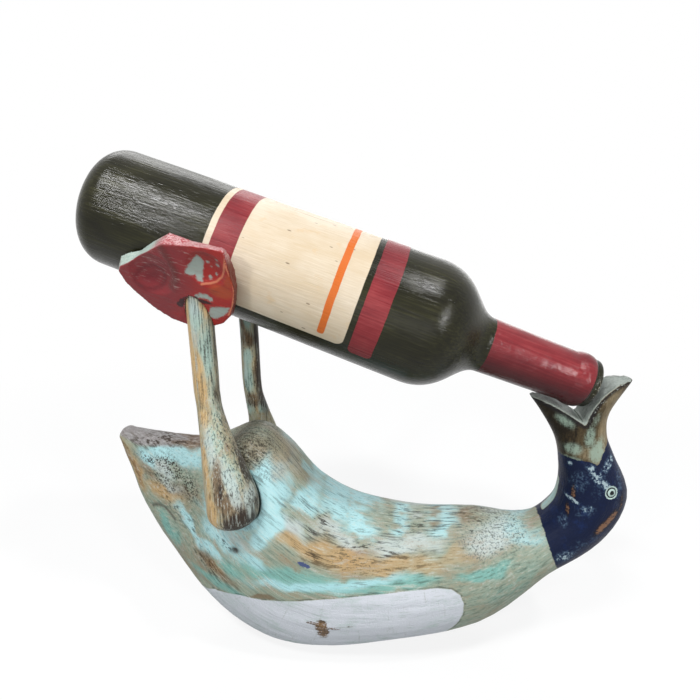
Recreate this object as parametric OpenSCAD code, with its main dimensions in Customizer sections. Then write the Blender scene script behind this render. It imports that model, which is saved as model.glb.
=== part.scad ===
// A carved duck lies on its back and holds a wooden wine bottle.
// The bottle's barrel lies between the two webbed feet, and its neck rests in the open bill.
// Millimetres. X runs from the tail to the bill, Z is up, and the origin lies on the face it rests on.

/* [Bottle] */
// Length of the bottle from its base to its lip
bottle_len = 294.4; // [285:1:310]
// Diameter of the barrel at its base
base_d = 65.4; // [58:0.2:66]
// Diameter of the barrel at its shoulder
shoulder_d = 73.2; // [69:0.2:77]
// Rounding of the base's edge
base_round = 12.5; // [4:0.5:16]
// Distance from the base to where the shoulder starts
barrel_len = 191.6; // [178:1:198]
// Length of the shoulder's curve
shoulder_len = 39; // [30:1:46]
// Diameter of the neck where it leaves the shoulder
neck_root_d = 32.4; // [28:0.2:36]
// Diameter of the neck below its bead
neck_top_d = 29.8; // [26:0.2:32]
// Diameter of the bead at the end of the capsule
bead_d = 32; // [28:0.2:34]
// Length of the bead
bead_len = 11; // [6:0.5:14]
// Diameter of the lip
lip_d = 28; // [21:0.2:30]
// Length of the lip beyond the capsule
lip_len = 3.8; // [3:0.2:8]

/* [Place of the bottle] */
// Height of the bottle's axis above the origin
axis_h = 234.3; // [225:0.5:245]
// Slope of the bottle, mouth down
tilt = 19.5; // [16:0.1:23]
// Length of the axis from the base to the point above the origin
axis_back = 137.3; // [132:0.5:141]

/* [Body sections: centre x, centre z, lean] */
// Tip of the tail
tip_at = [-133.5, 136.5, -50]; // [-200:0.5:200]
// Tail
tail_at = [-104, 115, -48]; // [-200:0.5:200]
// Vent, under the tail
vent_at = [-78.5, 105.5, -36.5]; // [-200:0.5:200]
// Hip, where the legs leave
hip_at = [-54.9, 80.7, -25]; // [-200:0.5:200]
// Flank
flank_at = [-27.5, 55.5, -18]; // [-200:0.5:200]
// Belly
belly_at = [0.5, 46, -13.5]; // [-200:0.5:200]
// Chest
chest_at = [47.5, 48, 1.5]; // [-200:0.5:200]
// Breast
breast_at = [92, 56.3, 4]; // [-200:0.5:200]
// Root of the neck
neck_at = [129, 75.5, 26]; // [-200:0.5:200]

/* [Body sections: half height, half width] */
// Tip of the tail
tip_r = [5, 6]; // [3:0.5:9]
// Tail
tail_r = [29, 16]; // [14:0.5:33]
// Vent
vent_r = [50, 29]; // [26:0.5:53]
// Hip
hip_r = [59, 41]; // [37:0.5:62]
// Flank
flank_r = [56.5, 44]; // [40:0.5:59]
// Belly
belly_r = [51.5, 44]; // [40:0.5:55]
// Chest
chest_r = [41, 41]; // [37:0.5:45]
// Breast
breast_r = [35.7, 33]; // [30:0.5:39]
// Root of the neck
neck_r = [18, 22]; // [16:0.5:25]
// Nape
nape_r = [18.5, 19]; // [16:0.5:22]
// Crown of the head, at the eyes
head_r = [20, 17]; // [15:0.5:22]
// Face, in front of the eyes
face_r = [15, 14]; // [12:0.5:18]
// Root of the bill
bill_r = [14.5, 11]; // [9:0.5:17]
// Corner of the open bill
gape_r = [18.5, 10.5]; // [9:0.5:23]
// Tips of the open bill
tips_r = [28.5, 11]; // [9:0.5:30]

/* [Head, measured from the middle of the bottle's mouth: x, z, lean] */
// Nape
nape_off = [2, -88, 55]; // [-120:0.5:120]
// Crown of the head, at the eyes
head_off = [9.2, -65, 80]; // [-120:0.5:120]
// Face, in front of the eyes
face_off = [2.6, -43, 97]; // [-120:0.5:120]
// Root of the bill
bill_off = [-2, -31, 95]; // [-120:0.5:120]
// Corner of the open bill
gape_off = [-6.2, -17, 95.5]; // [-120:0.5:120]
// Tips of the open bill
tips_off = [-5.8, -0.9, 102]; // [-120:0.5:120]

/* [Open bill] */
// Corner of the mouth, from the middle of the bottle's mouth: x, z
corner_off = [-3.3, -20.5]; // [-40:0.5:40]
// Tip of the half that carries the bottle's neck, from the corner of the mouth: x, z
carrier_tip = [-30, 13]; // [-44:0.5:44]
// Control point of its curved inner face, from the corner of the mouth: x, z
carrier_bend = [-19, 13]; // [-44:0.5:44]
// Tip of the half that stands behind the bottle's lip, from the corner of the mouth: x, z
stop_tip = [26.5, 29.5]; // [-44:0.5:44]
// Control point of its curved inner face, from the corner of the mouth: x, z
stop_bend = [3.5, 21]; // [-44:0.5:44]
// Room around the bottle where the bill takes it
rest_gap = 0.3; // [0.2:0.1:1]

/* [Eyes] */
// Diameter of the ring cut around each eye
eye_d = 6.4; // [5:0.5:10]
// Width of the ring's groove
eye_ring_w = 1.6; // [1:0.1:2.4]
// Place of the eyes, from the middle of the bottle's mouth: x, z
eye_off = [14.9, -59.8]; // [-80:0.5:80]
// Distance of the eyes from the middle plane
eye_y = 16.4; // [14:0.1:19]
// Turn of the eyes towards the crown of the head
eye_turn = 14; // [8:1:20]

/* [Resting face] */
// Height that is planed off the belly to make the resting face
planed = 4.3; // [3:0.1:6]

/* [Feet] */
// Thickness of a foot
foot_t = 7.5; // [5:0.5:10]
// Lean of a foot outwards from upright
foot_lean = 27; // [22:1:32]
// Room between a foot and the bottle
foot_gap = 0.3; // [0.2:0.1:1]
// Place of the hole for the leg along the bottle's axis, from the base
heel_back = 82.1; // [76:0.5:86]
// Length of the foot behind the hole
foot_back = 51.5; // [44:0.5:56]
// Length of the foot in front of the hole
foot_front = 15; // [12:0.5:20]
// Height of the toes above the hole's middle
foot_rise = 33.2; // [28:0.5:38]
// Depth of the heel below the hole's middle
foot_drop = 24.6; // [20:0.2:28]
// Depth of the hollows between the toes
web_depth = 3; // [1:0.2:4]
// Radius of the rear hollow at the foot's face
rear_web_r = 13; // [9:0.5:15]
// Radius of the front hollow at the foot's face
front_web_r = 10.5; // [7:0.5:12]
// Distance by which the far foot and leg stand further forward
far_shift = 8.3; // [0:0.1:10]

/* [Legs] */
// Diameter of a shank
shank_d = 14; // [11:0.2:16]
// Diameter of the far leg's shank
far_shank_d = 12; // [10:0.2:15]
// Room around the shank in the foot's hole
shank_gap = 0.4; // [0.2:0.1:0.8]
// Distance of a shank behind the foot's middle, where it passes the bottle's axis
shank_back = 13.6; // [11:0.1:16]
// Distance of a shank from the middle plane
shank_y = 29; // [27:0.5:33]
// Height where the shank starts to widen into the thigh
knee_h = 180; // [170:1:188]
// Largest diameter of the thigh
thigh_d = 29.4; // [22:0.2:31]
// Largest diameter of the far thigh
far_thigh_d = 24; // [20:0.5:30]
// Distance of the thigh's middle from the middle plane
thigh_y = 40; // [37:0.5:43]
// Height of the thickest part of the thigh
thigh_h = 119.5; // [108:1:124]
// Distance of the thigh in front of the shank
thigh_forward = 13.7; // [8:0.1:18]
// Distance of the far thigh in front of its shank
far_thigh_forward = 4.5; // [4:0.5:14]
// Distance by which the far thigh sits lower than the near one
far_thigh_drop = 13; // [4:0.5:16]
// Length of the thigh's rounded end below its thickest part
thigh_end = 16.5; // [12:0.5:24]
// Room between a thigh and its seat in the body
seat_gap = 0.3; // [0.2:0.1:0.8]

/* [Hidden] */
$fn = 72;
far = 1000;
around = 36;
steps = 5;
cap_steps = 4;
leg_around = 24;
leg_steps = 3;
wood_blue = [0.55, 0.74, 0.72];
foot_red = [0.55, 0.16, 0.16];
glass_green = [0.13, 0.14, 0.1];

bottle_front = bottle_len - axis_back;
mouth = [bottle_front * cos(tilt), axis_h - bottle_front * sin(tilt)];
bead_end = bottle_len - lip_len;
neck_root = barrel_len + shoulder_len;
bead_rise = (bead_d - neck_top_d) / 2;

// One ring of the body: centre x, centre z, lean, half height, half width, squareness
function ring(at, r, square) = [at[0], at[1], at[2], r[0], r[1], square];
function from_mouth(off) = [mouth[0] + off[0], mouth[1] + off[1], off[2]];
TRUNK = [
    ring(tip_at, tip_r, 2.6),
    ring(tail_at, tail_r, 2.8),
    ring(vent_at, vent_r, 2.6),
    ring(hip_at, hip_r, 2.4),
    ring(flank_at, flank_r, 2.3),
    ring(belly_at, belly_r, 2.2),
    ring(chest_at, chest_r, 2.1),
    ring(breast_at, breast_r, 2.1),
    ring(neck_at, neck_r, 2.1)
];
HEAD = [
    ring(from_mouth(nape_off), nape_r, 2.1),
    ring(from_mouth(head_off), head_r, 2.1),
    ring(from_mouth(face_off), face_r, 2.2),
    ring(from_mouth(bill_off), bill_r, 2.2),
    ring(from_mouth(gape_off), gape_r, 2.2),
    ring(from_mouth(tips_off), tips_r, 2.1)
];

// Distances along a row of sections, and a smooth curve through their values
function step_len(rows, i) = norm([rows[i][0] - rows[i - 1][0], rows[i][1] - rows[i - 1][1]]);
function reach(rows, i) = i == 0 ? 0 : reach(rows, i - 1) + step_len(rows, i);
function slope(rows, at, i) =
    let (a = max(i - 1, 0), b = min(i + 1, len(rows) - 1))
    (rows[b] - rows[a]) / (at[b] - at[a]);
function between(rows, at, i, u) =
    let (gap = at[i + 1] - at[i])
    (2 * pow(u, 3) - 3 * pow(u, 2) + 1) * rows[i]
    + (pow(u, 3) - 2 * pow(u, 2) + u) * gap * slope(rows, at, i)
    + (3 * pow(u, 2) - 2 * pow(u, 3)) * rows[i + 1]
    + (pow(u, 3) - pow(u, 2)) * gap * slope(rows, at, i + 1);
function smooth_rows(rows, n) =
    let (at = [for (i = [0:len(rows) - 1]) reach(rows, i)])
    [for (i = [0:len(rows) - 2]) for (k = [0:n - 1]) between(rows, at, i, k / n), rows[len(rows) - 1]];

// The trunk is set so low that the planed face is at height 0
function lowest(rows) = min([for (r = rows) r[1] - norm([r[3] * cos(r[2]), 0])]);
trunk_drop = lowest(smooth_rows(TRUNK, steps)) + planed;
LOWERED = [for (r = TRUNK) [r[0], r[1] - trunk_drop, r[2], r[3], r[4], r[5]]];

// A rounded end in front of the first section, as smaller rings pushed back along its lean
function cap_row(r, q) =
    let (s = sqrt(1 - q * q), push = q * r[3] * 0.8)
    [r[0] - push * cos(r[2]), r[1] - push * sin(r[2]), r[2], r[3] * s, r[4] * s, r[5]];
BODY_ROWS = concat(
    [for (k = [0:cap_steps - 1]) cap_row(LOWERED[0], 0.97 - k * 0.97 / cap_steps)],
    smooth_rows(concat(LOWERED, HEAD), steps)
);

function signed_pow(v, e) = sign(v) * pow(abs(v), e);
function row_points(r, n) =
    [for (k = [0:n - 1])
        let (
            a = 360 * k / n,
            up = r[3] * signed_pow(sin(a), 2 / r[5]),
            side = r[4] * signed_pow(cos(a), 2 / r[5])
        )
        [r[0] - up * sin(r[2]), side, r[1] + up * cos(r[2])]];

// A closed skin over rings of n points each
module skin(rings, n) {
    points = [for (r = rings) for (p = r) p];
    last = (len(rings) - 1) * n;
    sides = [for (i = [0:len(rings) - 2]) for (k = [0:n - 1])
        let (a = i * n + k, b = i * n + (k + 1) % n)
        each [[a, b + n, b], [a, a + n, b + n]]];
    start = [[for (k = [0:n - 1]) k]];
    end = [[for (k = [n - 1:-1:0]) last + k]];
    polyhedron(points, concat(start, sides, end));
}

module body_skin() {
    skin([for (r = BODY_ROWS) row_points(r, around)], around);
}

// Runs its children through the part from side to side, in the plane of X and Z
module across() {
    rotate([90, 0, 0])
        linear_extrude(far, center = true)
            children();
}

// The gap between the two halves of the bill
function bend(a, b, c, u) = pow(1 - u, 2) * a + 2 * u * (1 - u) * b + pow(u, 2) * c;
module bill_gap() {
    corner = [mouth[0] + corner_off[0], mouth[1] + corner_off[1]];
    left = corner + carrier_tip;
    right = corner + stop_tip;
    above = mouth[1] + far / 10;
    across()
        polygon(concat(
            [left - [far / 20, 0]],
            [for (k = [6:-1:1]) bend(corner, corner + carrier_bend, left, k / 6)],
            [for (k = [0:6]) bend(corner, corner + stop_bend, right, k / 6)],
            [right + [far / 20, 0], [right[0] + far / 20, above], [left[0] - far / 20, above]]
        ));
}

// Moves its children onto the bottle's axis, with the base at 0 and the mouth along +X
module on_axis() {
    translate([0, 0, axis_h])
        rotate([0, tilt, 0])
            translate([-axis_back, 0, 0])
                children();
}

// Half outline of the bottle, as distance along the axis and radius
function corner_arc(x, y, r, from, to, n) =
    [for (k = [0:n]) [x + r * cos(from + (to - from) * k / n), y + r * sin(from + (to - from) * k / n)]];
function shoulder_curve(n) =
    let (a = shoulder_d / 2, b = neck_root_d / 2)
    [for (k = [0:n])
        let (u = k / n)
        bend4([barrel_len, a], [barrel_len + 0.62 * shoulder_len, a], [barrel_len + 0.68 * shoulder_len, b],
            [neck_root, b], u)];
function bend4(a, b, c, d, u) =
    pow(1 - u, 3) * a + 3 * u * pow(1 - u, 2) * b + 3 * pow(u, 2) * (1 - u) * c + pow(u, 3) * d;
function bottle_half() = concat(
    [[0, 0]],
    corner_arc(base_round, base_d / 2 - base_round, base_round, 180, 90, 8),
    shoulder_curve(14),
    [[bead_end - bead_len, neck_top_d / 2]],
    [for (k = [1:5]) [bead_end - bead_len * (1 - k / 6), neck_top_d / 2 + bead_rise * sin(30 * k)]],
    [[bead_end, neck_top_d / 2 - 1], [bead_end, lip_d / 2]],
    corner_arc(bottle_len - 2, lip_d / 2 - 2, 2, 90, 0, 4),
    [[bottle_len, 0]]
);
module bottle_solid() {
    on_axis()
        rotate([0, 90, 0])
            rotate([0, 0, 90])
                rotate_extrude()
                    polygon([for (p = bottle_half()) [p[1], p[0]]]);
}

// The bottle's barrel and neck with room around them, as plain round cuts
module barrel_room(gap) {
    on_axis()
        rotate([0, 90, 0])
            cylinder(h = barrel_len, d1 = base_d + 2 * gap, d2 = shoulder_d + 2 * gap);
}
module neck_room(gap) {
    on_axis()
        translate([neck_root, 0, 0])
            rotate([0, 90, 0]) {
                cylinder(h = bead_end - neck_root, d = bead_d + 2 * gap);
                cylinder(h = bottle_len + gap - neck_root, d = lip_d + 2 * gap);
            }
}

// The leg's rings from the shank down to the thigh's rounded end.
// Each has x, the share of the way out to the thigh, z and radius.
shank_x = (heel_back - axis_back) * cos(tilt) - shank_back;
shank_top = axis_h - shank_x * tan(tilt) - 22;
function leg_row(x, out, z, r) = [x, z, shank_y + out * (thigh_y - shank_y), r];
function shank(side) = side > 0 ? shank_d : far_shank_d;
function leg_rows(top, ahead, low, thin, thick) = [
    leg_row(0, 0, top, thin / 2),
    leg_row(0, 0, knee_h - low, thin / 2),
    leg_row(0.08 * ahead, 0.08, knee_h - low - 10, thin / 2),
    leg_row(0.25 * ahead, 0.3, knee_h - low - 20, 0.18 * thick + 0.2 * thin),
    leg_row(0.48 * ahead, 0.58, thigh_h - low + 30, 0.33 * thick),
    leg_row(0.68 * ahead, 0.78, thigh_h - low + 20, 0.4 * thick),
    leg_row(0.88 * ahead, 0.93, thigh_h - low + 8, 0.47 * thick),
    leg_row(ahead, 1, thigh_h - low, 0.5 * thick),
    leg_row(ahead, 1, thigh_h - low - 0.55 * thigh_end, 0.49 * thick),
    leg_row(ahead, 0.96, thigh_h - low - 0.86 * thigh_end, 0.38 * thick),
    leg_row(ahead, 0.94, thigh_h - low - thigh_end, 0.18 * thick)
];
function leg_ring(r, grow) =
    [for (k = [0:leg_around - 1])
        let (a = -360 * k / leg_around, s = r[3] + grow)
        [r[0] + s * cos(a), r[2] + s * sin(a), r[1]]];
module leg_skin(side, top, grow) {
    ahead = side > 0 ? thigh_forward : far_thigh_forward;
    low = side > 0 ? 0 : far_thigh_drop;
    thick = side > 0 ? thigh_d : far_thigh_d;
    rows = leg_rows(top, ahead, low, shank(side), thick);
    bent = [for (k = [1:len(rows) - 1]) rows[k]];
    curve = smooth_rows(bent, leg_steps);
    skin([for (r = concat([rows[0]], curve)) leg_ring(r, grow)], leg_around);
}

// Places its children on the near side at 1 and on the far side at -1
module on_side(side) {
    shift = side > 0 ? 0 : far_shift * cos(tilt);
    translate([shank_x + shift, 0, 0])
        scale([1, -side, 1])
            children();
}
module leg(side) {
    drop = side > 0 ? 0 : far_shift * sin(tilt);
    color(wood_blue)
        difference() {
            on_side(side)
                leg_skin(side, shank_top - drop, 0);
            barrel_room(foot_gap);
        }
}

// A foot lies in its own plane: x along the bottle from the hole, y up the foot, z outwards from the bottle
foot_seat = (base_d + (shoulder_d - base_d) * (heel_back + foot_front) / barrel_len) / 2 + foot_gap;

// Outline of a foot from the heel round by the front to the rear tip: each place on the foot's back, then
// on its face, as shares of the foot's length and height on either side of the hole
FOOT_EDGE = [
    [[-0.9, -0.46], [-0.85, -0.4]],
    [[-0.73, -0.64], [-0.72, -0.61]],
    [[-0.55, -0.84], [-0.55, -0.83]],
    [[-0.35, -0.99], [-0.35, -0.98]],
    [[-0.16, -1], [-0.16, -0.98]],
    [[0.2, -0.88], [0.27, -0.77]],
    [[0.67, -0.67], [0.7, -0.54]],
    [[0.87, -0.43], [0.93, -0.25]],
    [[0.91, -0.02], [1, 0.12]],
    [[0.87, 0.28], [0.96, 0.39]],
    [[0.74, 0.56], [0.72, 0.65]],
    [[0.52, 0.77], [0.55, 0.86]],
    [[0.31, 0.88], [0.43, 1]],
    [[-0.08, 0.84], [-0.03, 0.95]],
    [[-0.23, 0.8], [-0.19, 0.88]],
    [[-0.36, 0.81], [-0.34, 0.79]],
    [[-0.45, 0.8], [-0.44, 0.73]],
    [[-0.54, 0.66], [-0.51, 0.64]],
    [[-0.64, 0.48], [-0.59, 0.51]],
    [[-0.75, 0.27], [-0.7, 0.32]],
    [[-0.89, 0.12], [-0.81, 0.13]],
    [[-0.97, 0.01], [-0.9, -0.01]],
    [[-1, -0.26], [-0.92, -0.15]]
];
function foot_point(p, z) =
    [p[0] * (p[0] < 0 ? foot_back : foot_front), p[1] * (p[1] < 0 ? foot_drop : foot_rise), z];
module web_hollow(x, y, r) {
    ball = (r * r + web_depth * web_depth) / (2 * web_depth);
    translate([x, y, foot_t + ball - web_depth])
        sphere(ball);
}
module foot_plate() {
    difference() {
        skin([for (k = [0, 1]) [for (p = FOOT_EDGE) foot_point(p[k], k * foot_t)]], len(FOOT_EDGE));
        web_hollow(-0.56 * foot_back, 0.09 * foot_rise, rear_web_r);
        web_hollow(-0.06 * foot_front, 0.55 * foot_rise, front_web_r);
    }
}
module foot(side) {
    shift = side > 0 ? 0 : far_shift;
    color(foot_red)
        difference() {
            scale([1, side, 1])
                on_axis()
                    translate([heel_back + shift, 0, 0])
                        rotate([90 + foot_lean, 0, 0])
                            translate([0, 0, foot_seat])
                                foot_plate();
            on_side(side)
                translate([0, shank_y, knee_h])
                    cylinder(h = axis_h - knee_h + 2 * foot_rise, d = shank(side) + 2 * shank_gap);
        }
}

module eye_rings() {
    for (side = [-1, 1])
        translate([mouth[0] + eye_off[0], side * eye_y, mouth[1] + eye_off[1]])
            rotate([0, 0, -side * eye_turn])
                rotate([90, 0, 0])
                    rotate_extrude($fn = 30)
                        translate([eye_d / 2, 0])
                            circle(d = eye_ring_w, $fn = 8);
}

module body() {
    color(wood_blue)
        difference() {
            body_skin();
            translate([-far / 2, -far / 2, -far])
                cube(far);
            bill_gap();
            neck_room(rest_gap);
            eye_rings();
            for (side = [1, -1])
                on_side(side)
                    leg_skin(side, knee_h + 1, seat_gap);
        }
}
module near_leg() {
    leg(1);
}
module far_leg() {
    leg(-1);
}
module near_foot() {
    foot(1);
}
module far_foot() {
    foot(-1);
}
module bottle() {
    color(glass_green)
        bottle_solid();
}

body();
near_leg();
far_leg();
near_foot();
far_foot();
bottle();
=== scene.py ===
"""Looks of a carved wooden duck that lies on its back and holds a painted wooden wine bottle.

Lengths are millimetres in the classes below, and metres once they reach Blender. X runs from the
tail to the bill, Z is up, and the camera stands on the side where Y is negative.
"""

import logging
import math
from dataclasses import dataclass, field
from enum import Enum
from typing import Optional, Sequence, Union

import bpy
import numpy as np
from mathutils import Matrix, Vector
from mathutils.bvhtree import BVHTree


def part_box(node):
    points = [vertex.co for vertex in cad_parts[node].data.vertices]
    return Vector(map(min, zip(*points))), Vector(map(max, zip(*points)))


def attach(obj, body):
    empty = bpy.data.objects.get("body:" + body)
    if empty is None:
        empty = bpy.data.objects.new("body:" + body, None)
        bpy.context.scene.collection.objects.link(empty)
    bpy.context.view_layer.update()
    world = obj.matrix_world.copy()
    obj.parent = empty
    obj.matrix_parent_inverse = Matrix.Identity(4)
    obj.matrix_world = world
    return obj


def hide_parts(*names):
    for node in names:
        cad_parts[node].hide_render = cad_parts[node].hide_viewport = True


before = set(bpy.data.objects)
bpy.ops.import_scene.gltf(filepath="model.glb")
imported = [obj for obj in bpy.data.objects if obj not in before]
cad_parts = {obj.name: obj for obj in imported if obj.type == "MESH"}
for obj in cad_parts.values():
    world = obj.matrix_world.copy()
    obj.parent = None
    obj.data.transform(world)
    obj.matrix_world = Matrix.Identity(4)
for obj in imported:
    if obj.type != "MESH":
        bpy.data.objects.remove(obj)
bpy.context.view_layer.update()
MM = 0.001
LOG = logging.getLogger("duck")

Array = np.ndarray
Number = Union[int, float]
Colour = tuple[float, float, float]
Point = tuple[float, float, float]
Span = tuple[float, float]
Line = tuple[tuple[float, ...], ...]


def paint(red: int, green: int, blue: int) -> Colour:
    """Turns a colour as it looks on a screen into the linear light that a shader takes.

    Args:
        red: Red from 0 to 255.
        green: Green from 0 to 255.
        blue: Blue from 0 to 255.

    Returns:
        The three linear values.
    """
    shares = (level / 255 for level in (red, green, blue))
    return tuple(share / 12.92 if share <= 0.04045 else ((share + 0.055) / 1.055) ** 2.4
                 for share in shares)


class Side(Enum):
    """The two sides of the duck, as the sign of Y."""

    NEAR = -1
    FAR = 1


class Value:
    """What a socket gives over a surface, so that it can stand in an expression."""

    def __init__(self, shader: "Shader", socket: bpy.types.NodeSocket) -> None:
        """Keeps the socket and the shader that it belongs to."""
        self.shader = shader
        self.socket = socket

    def _math(self, operation: str, *parts: "Term") -> "Value":
        """One Math node over the parts."""
        inputs = dict(enumerate(parts))
        return self.shader.value("ShaderNodeMath", {"operation": operation}, inputs)

    def __add__(self, other: "Term") -> "Value":
        """Sum."""
        return self._math("ADD", self, other)

    def __radd__(self, other: Number) -> "Value":
        """Sum with a plain number in front."""
        return self._math("ADD", other, self)

    def __sub__(self, other: "Term") -> "Value":
        """Difference."""
        return self._math("SUBTRACT", self, other)

    def __rsub__(self, other: Number) -> "Value":
        """A plain number less this value."""
        return self._math("SUBTRACT", other, self)

    def __mul__(self, other: "Term") -> "Value":
        """Product."""
        return self._math("MULTIPLY", self, other)

    def __rmul__(self, other: Number) -> "Value":
        """Product with a plain number in front."""
        return self._math("MULTIPLY", other, self)

    def __pow__(self, power: Number) -> "Value":
        """Power."""
        return self._math("POWER", self, power)

    def __rpow__(self, base: Number) -> "Value":
        """A plain number to the power of this value."""
        return self._math("POWER", base, self)

    def __neg__(self) -> "Value":
        """The value with its sign turned."""
        return 0 - self

    def __abs__(self) -> "Value":
        """Size without its sign."""
        return self._math("ABSOLUTE", self)

    def over(self, other: "Term") -> "Value":
        """The larger of the two."""
        return self._math("MAXIMUM", self, other)

    def under(self, other: "Term") -> "Value":
        """The smaller of the two."""
        return self._math("MINIMUM", self, other)

    def angle_from(self, other: "Value") -> "Value":
        """The angle whose tangent is this value over the other."""
        return self._math("ARCTAN2", self, other)

    def step(self, low: Number, high: Number) -> "Value":
        """Rises smoothly from 0 at low to 1 at high."""
        inputs = {"Value": self, "From Min": low, "From Max": high}
        return self.shader.value("ShaderNodeMapRange", {"interpolation_type": "SMOOTHSTEP"}, inputs)


class Tint(Value):
    """A colour or a vector that varies over a surface."""

    def times(self, scale: Sequence[float]) -> "Tint":
        """The vector with each axis scaled by itself."""
        return self.shader.vector("MULTIPLY", self, scale)

    def plus(self, other: Sequence[float]) -> "Tint":
        """The vector moved by another."""
        return self.shader.vector("ADD", self, other)

    def along(self, axis: Sequence[float]) -> Value:
        """How far the vector reaches along an axis."""
        settings = {"operation": "DOT_PRODUCT"}
        return self.shader.value("ShaderNodeVectorMath", settings, {0: self, 1: axis}, "Value")


Term = Union[Value, int, float]
Paint = Union[Tint, Colour]
Grain = tuple[Value, Value, Value]


class Shader:
    """The nodes of one material or of the world, built node by node."""

    def __init__(self, owner: Union[bpy.types.Material, bpy.types.World]) -> None:
        """Clears the owner's nodes.

        Args:
            owner: The material or world that the nodes belong to.
        """
        self.owner = owner
        owner.use_nodes = True
        self.tree = owner.node_tree
        self.tree.nodes.clear()

    @classmethod
    def material(cls, name: str) -> "Shader":
        """Starts a material."""
        return cls(bpy.data.materials.new(name))

    def node(self, kind: str, settings: Optional[dict] = None,
             inputs: Optional[dict] = None) -> bpy.types.Node:
        """Adds a node, sets it and joins its sockets.

        Args:
            kind: The node's type.
            settings: Its properties; "stops" gives the places and colours of a ramp.
            inputs: A number, vector, colour or Value for each socket, by name or place.

        Returns:
            The new node.
        """
        made = self.tree.nodes.new(kind)
        for key, value in (settings or {}).items():
            if key == "stops":
                self._set_stops(made.color_ramp, value)
            else:
                setattr(made, key, value)
        for key, value in (inputs or {}).items():
            socket = made.inputs[key]
            if isinstance(value, Value):
                self.tree.links.new(value.socket, socket)
            elif isinstance(value, (int, float)):
                socket.default_value = value
            else:
                size = len(socket.default_value)
                socket.default_value = tuple(value) + (1.0,) * (size - len(value))
        return made

    @staticmethod
    def _set_stops(ramp: bpy.types.ColorRamp, stops: Sequence[tuple[float, Colour]]) -> None:
        """Puts the stops of a colour ramp in place.

        Args:
            ramp: The ramp.
            stops: The place and colour of each stop.
        """
        while len(ramp.elements) < len(stops):
            ramp.elements.new(1.0)
        for element, (place, colour) in zip(ramp.elements, stops):
            element.position = place
            element.color = (*colour, 1.0)

    def value(self, kind: str, settings: Optional[dict] = None, inputs: Optional[dict] = None,
              output: Union[int, str] = 0) -> Value:
        """Adds a node and takes one of its outputs."""
        return Value(self, self.node(kind, settings, inputs).outputs[output])

    def tint(self, kind: str, settings: Optional[dict] = None, inputs: Optional[dict] = None,
             output: Union[int, str] = 0) -> Tint:
        """Adds a node and takes one of its outputs as a colour or a vector."""
        return Tint(self, self.node(kind, settings, inputs).outputs[output])

    def vector(self, operation: str, *parts: Union[Tint, Sequence[float]]) -> Tint:
        """One Vector Math node over the parts."""
        return self.tint("ShaderNodeVectorMath", {"operation": operation}, dict(enumerate(parts)))

    def place(self) -> Tint:
        """The point on the surface, in millimetres of the part's own frame."""
        return self.tint("ShaderNodeTexCoord", output="Object").times((1 / MM,) * 3)

    def layer(self, name: str) -> Value:
        """A number that was laid on the mesh's points."""
        return self.value("ShaderNodeAttribute", {"attribute_name": name}, output="Fac")

    def flow(self) -> Tint:
        """The grain's own directions, laid on the mesh's points in millimetres."""
        return self.tint("ShaderNodeAttribute", {"attribute_name": "flow"}, output="Vector")

    def seen(self) -> Value:
        """Finds the rays that show a surface: from the camera, in a mirror or through glass.

        Returns:
            One for those rays and zero for the rest.
        """
        path = self.node("ShaderNodeLightPath")
        kinds = (f"Is {kind} Ray" for kind in ("Camera", "Glossy", "Transmission"))
        camera, mirror, glass = (Value(self, path.outputs[kind]) for kind in kinds)
        return camera.over(mirror).over(glass)

    def noise(self, at: Tint, stretch: Sequence[float], detail: float = 3.0,
              rough: float = 0.55) -> Value:
        """Soft noise from 0 to 1.

        Args:
            at: The place it is read at.
            stretch: How many features there are to a millimetre along each axis.
            detail: Number of finer layers.
            rough: Weight of the finer layers.

        Returns:
            The noise.
        """
        inputs = {"Vector": at.times(stretch), "Scale": 1.0, "Detail": detail, "Roughness": rough}
        return self.value("ShaderNodeTexNoise", {"noise_dimensions": "3D"}, inputs, "Fac")

    def swing(self, gain: float, at: Tint, *traits: Union[float, Sequence[float]]) -> Value:
        """The same noise, swinging round zero with a gain."""
        return (self.noise(at, *traits) - 0.5) * gain

    def flecks(self, at: Tint, stretch: Sequence[float]) -> Value:
        """Distance to the nearest of many scattered points, in their own spacing."""
        inputs = {"Vector": at.times(stretch), "Scale": 1.0}
        return self.value("ShaderNodeTexVoronoi", {"feature": "F1"}, inputs, "Distance")

    def ramp(self, value: Value, stops: Sequence[tuple[float, Colour]]) -> Tint:
        """Colours along a value."""
        return self.tint("ShaderNodeValToRGB", {"stops": stops}, {0: value}, "Color")

    def coat(self, under: Paint, over: Paint, share: Value) -> Tint:
        """Lays one colour over another where the share is high."""
        return self.tint("ShaderNodeMix", {"data_type": "RGBA"}, {0: share, 6: under, 7: over}, 2)

    def finish(self, colour: Tint, rough: Term, height: Value, depth: float,
               shine: float) -> bpy.types.Material:
        """Closes the material with one surface.

        Args:
            colour: Its base colour.
            rough: Its roughness.
            height: The height of its relief, from 0 to 1.
            depth: The depth that 1 stands for, in millimetres.
            shine: How strongly it mirrors.

        Returns:
            The material.
        """
        bump = {"Strength": 1.0, "Distance": depth * MM, "Height": height}
        normal = self.tint("ShaderNodeBump", {}, bump, "Normal")
        looks = {"Base Color": colour, "Roughness": rough, "Normal": normal,
                 "Specular IOR Level": shine}
        surface = self.value("ShaderNodeBsdfPrincipled", {}, looks)
        self.node("ShaderNodeOutputMaterial", {}, {"Surface": surface})
        return self.owner


class Coats:
    """Coats of colour in one material, each laid over the last."""

    def __init__(self, shader: Shader, ground: Paint) -> None:
        """Starts with the ground."""
        self.shader = shader
        self.colour = ground

    def cover(self, over: Paint, share: Value) -> "Coats":
        """Lays a coat where the share is high."""
        self.colour = self.shader.coat(self.colour, over, share)
        return self

    def lay(self, over: Paint, share: Value, low: float, high: float,
            full: float = 1.0) -> "Coats":
        """Lays a coat that starts where the share is low and is full where it is high."""
        return self.cover(over, share.step(low, high) * full)


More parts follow.
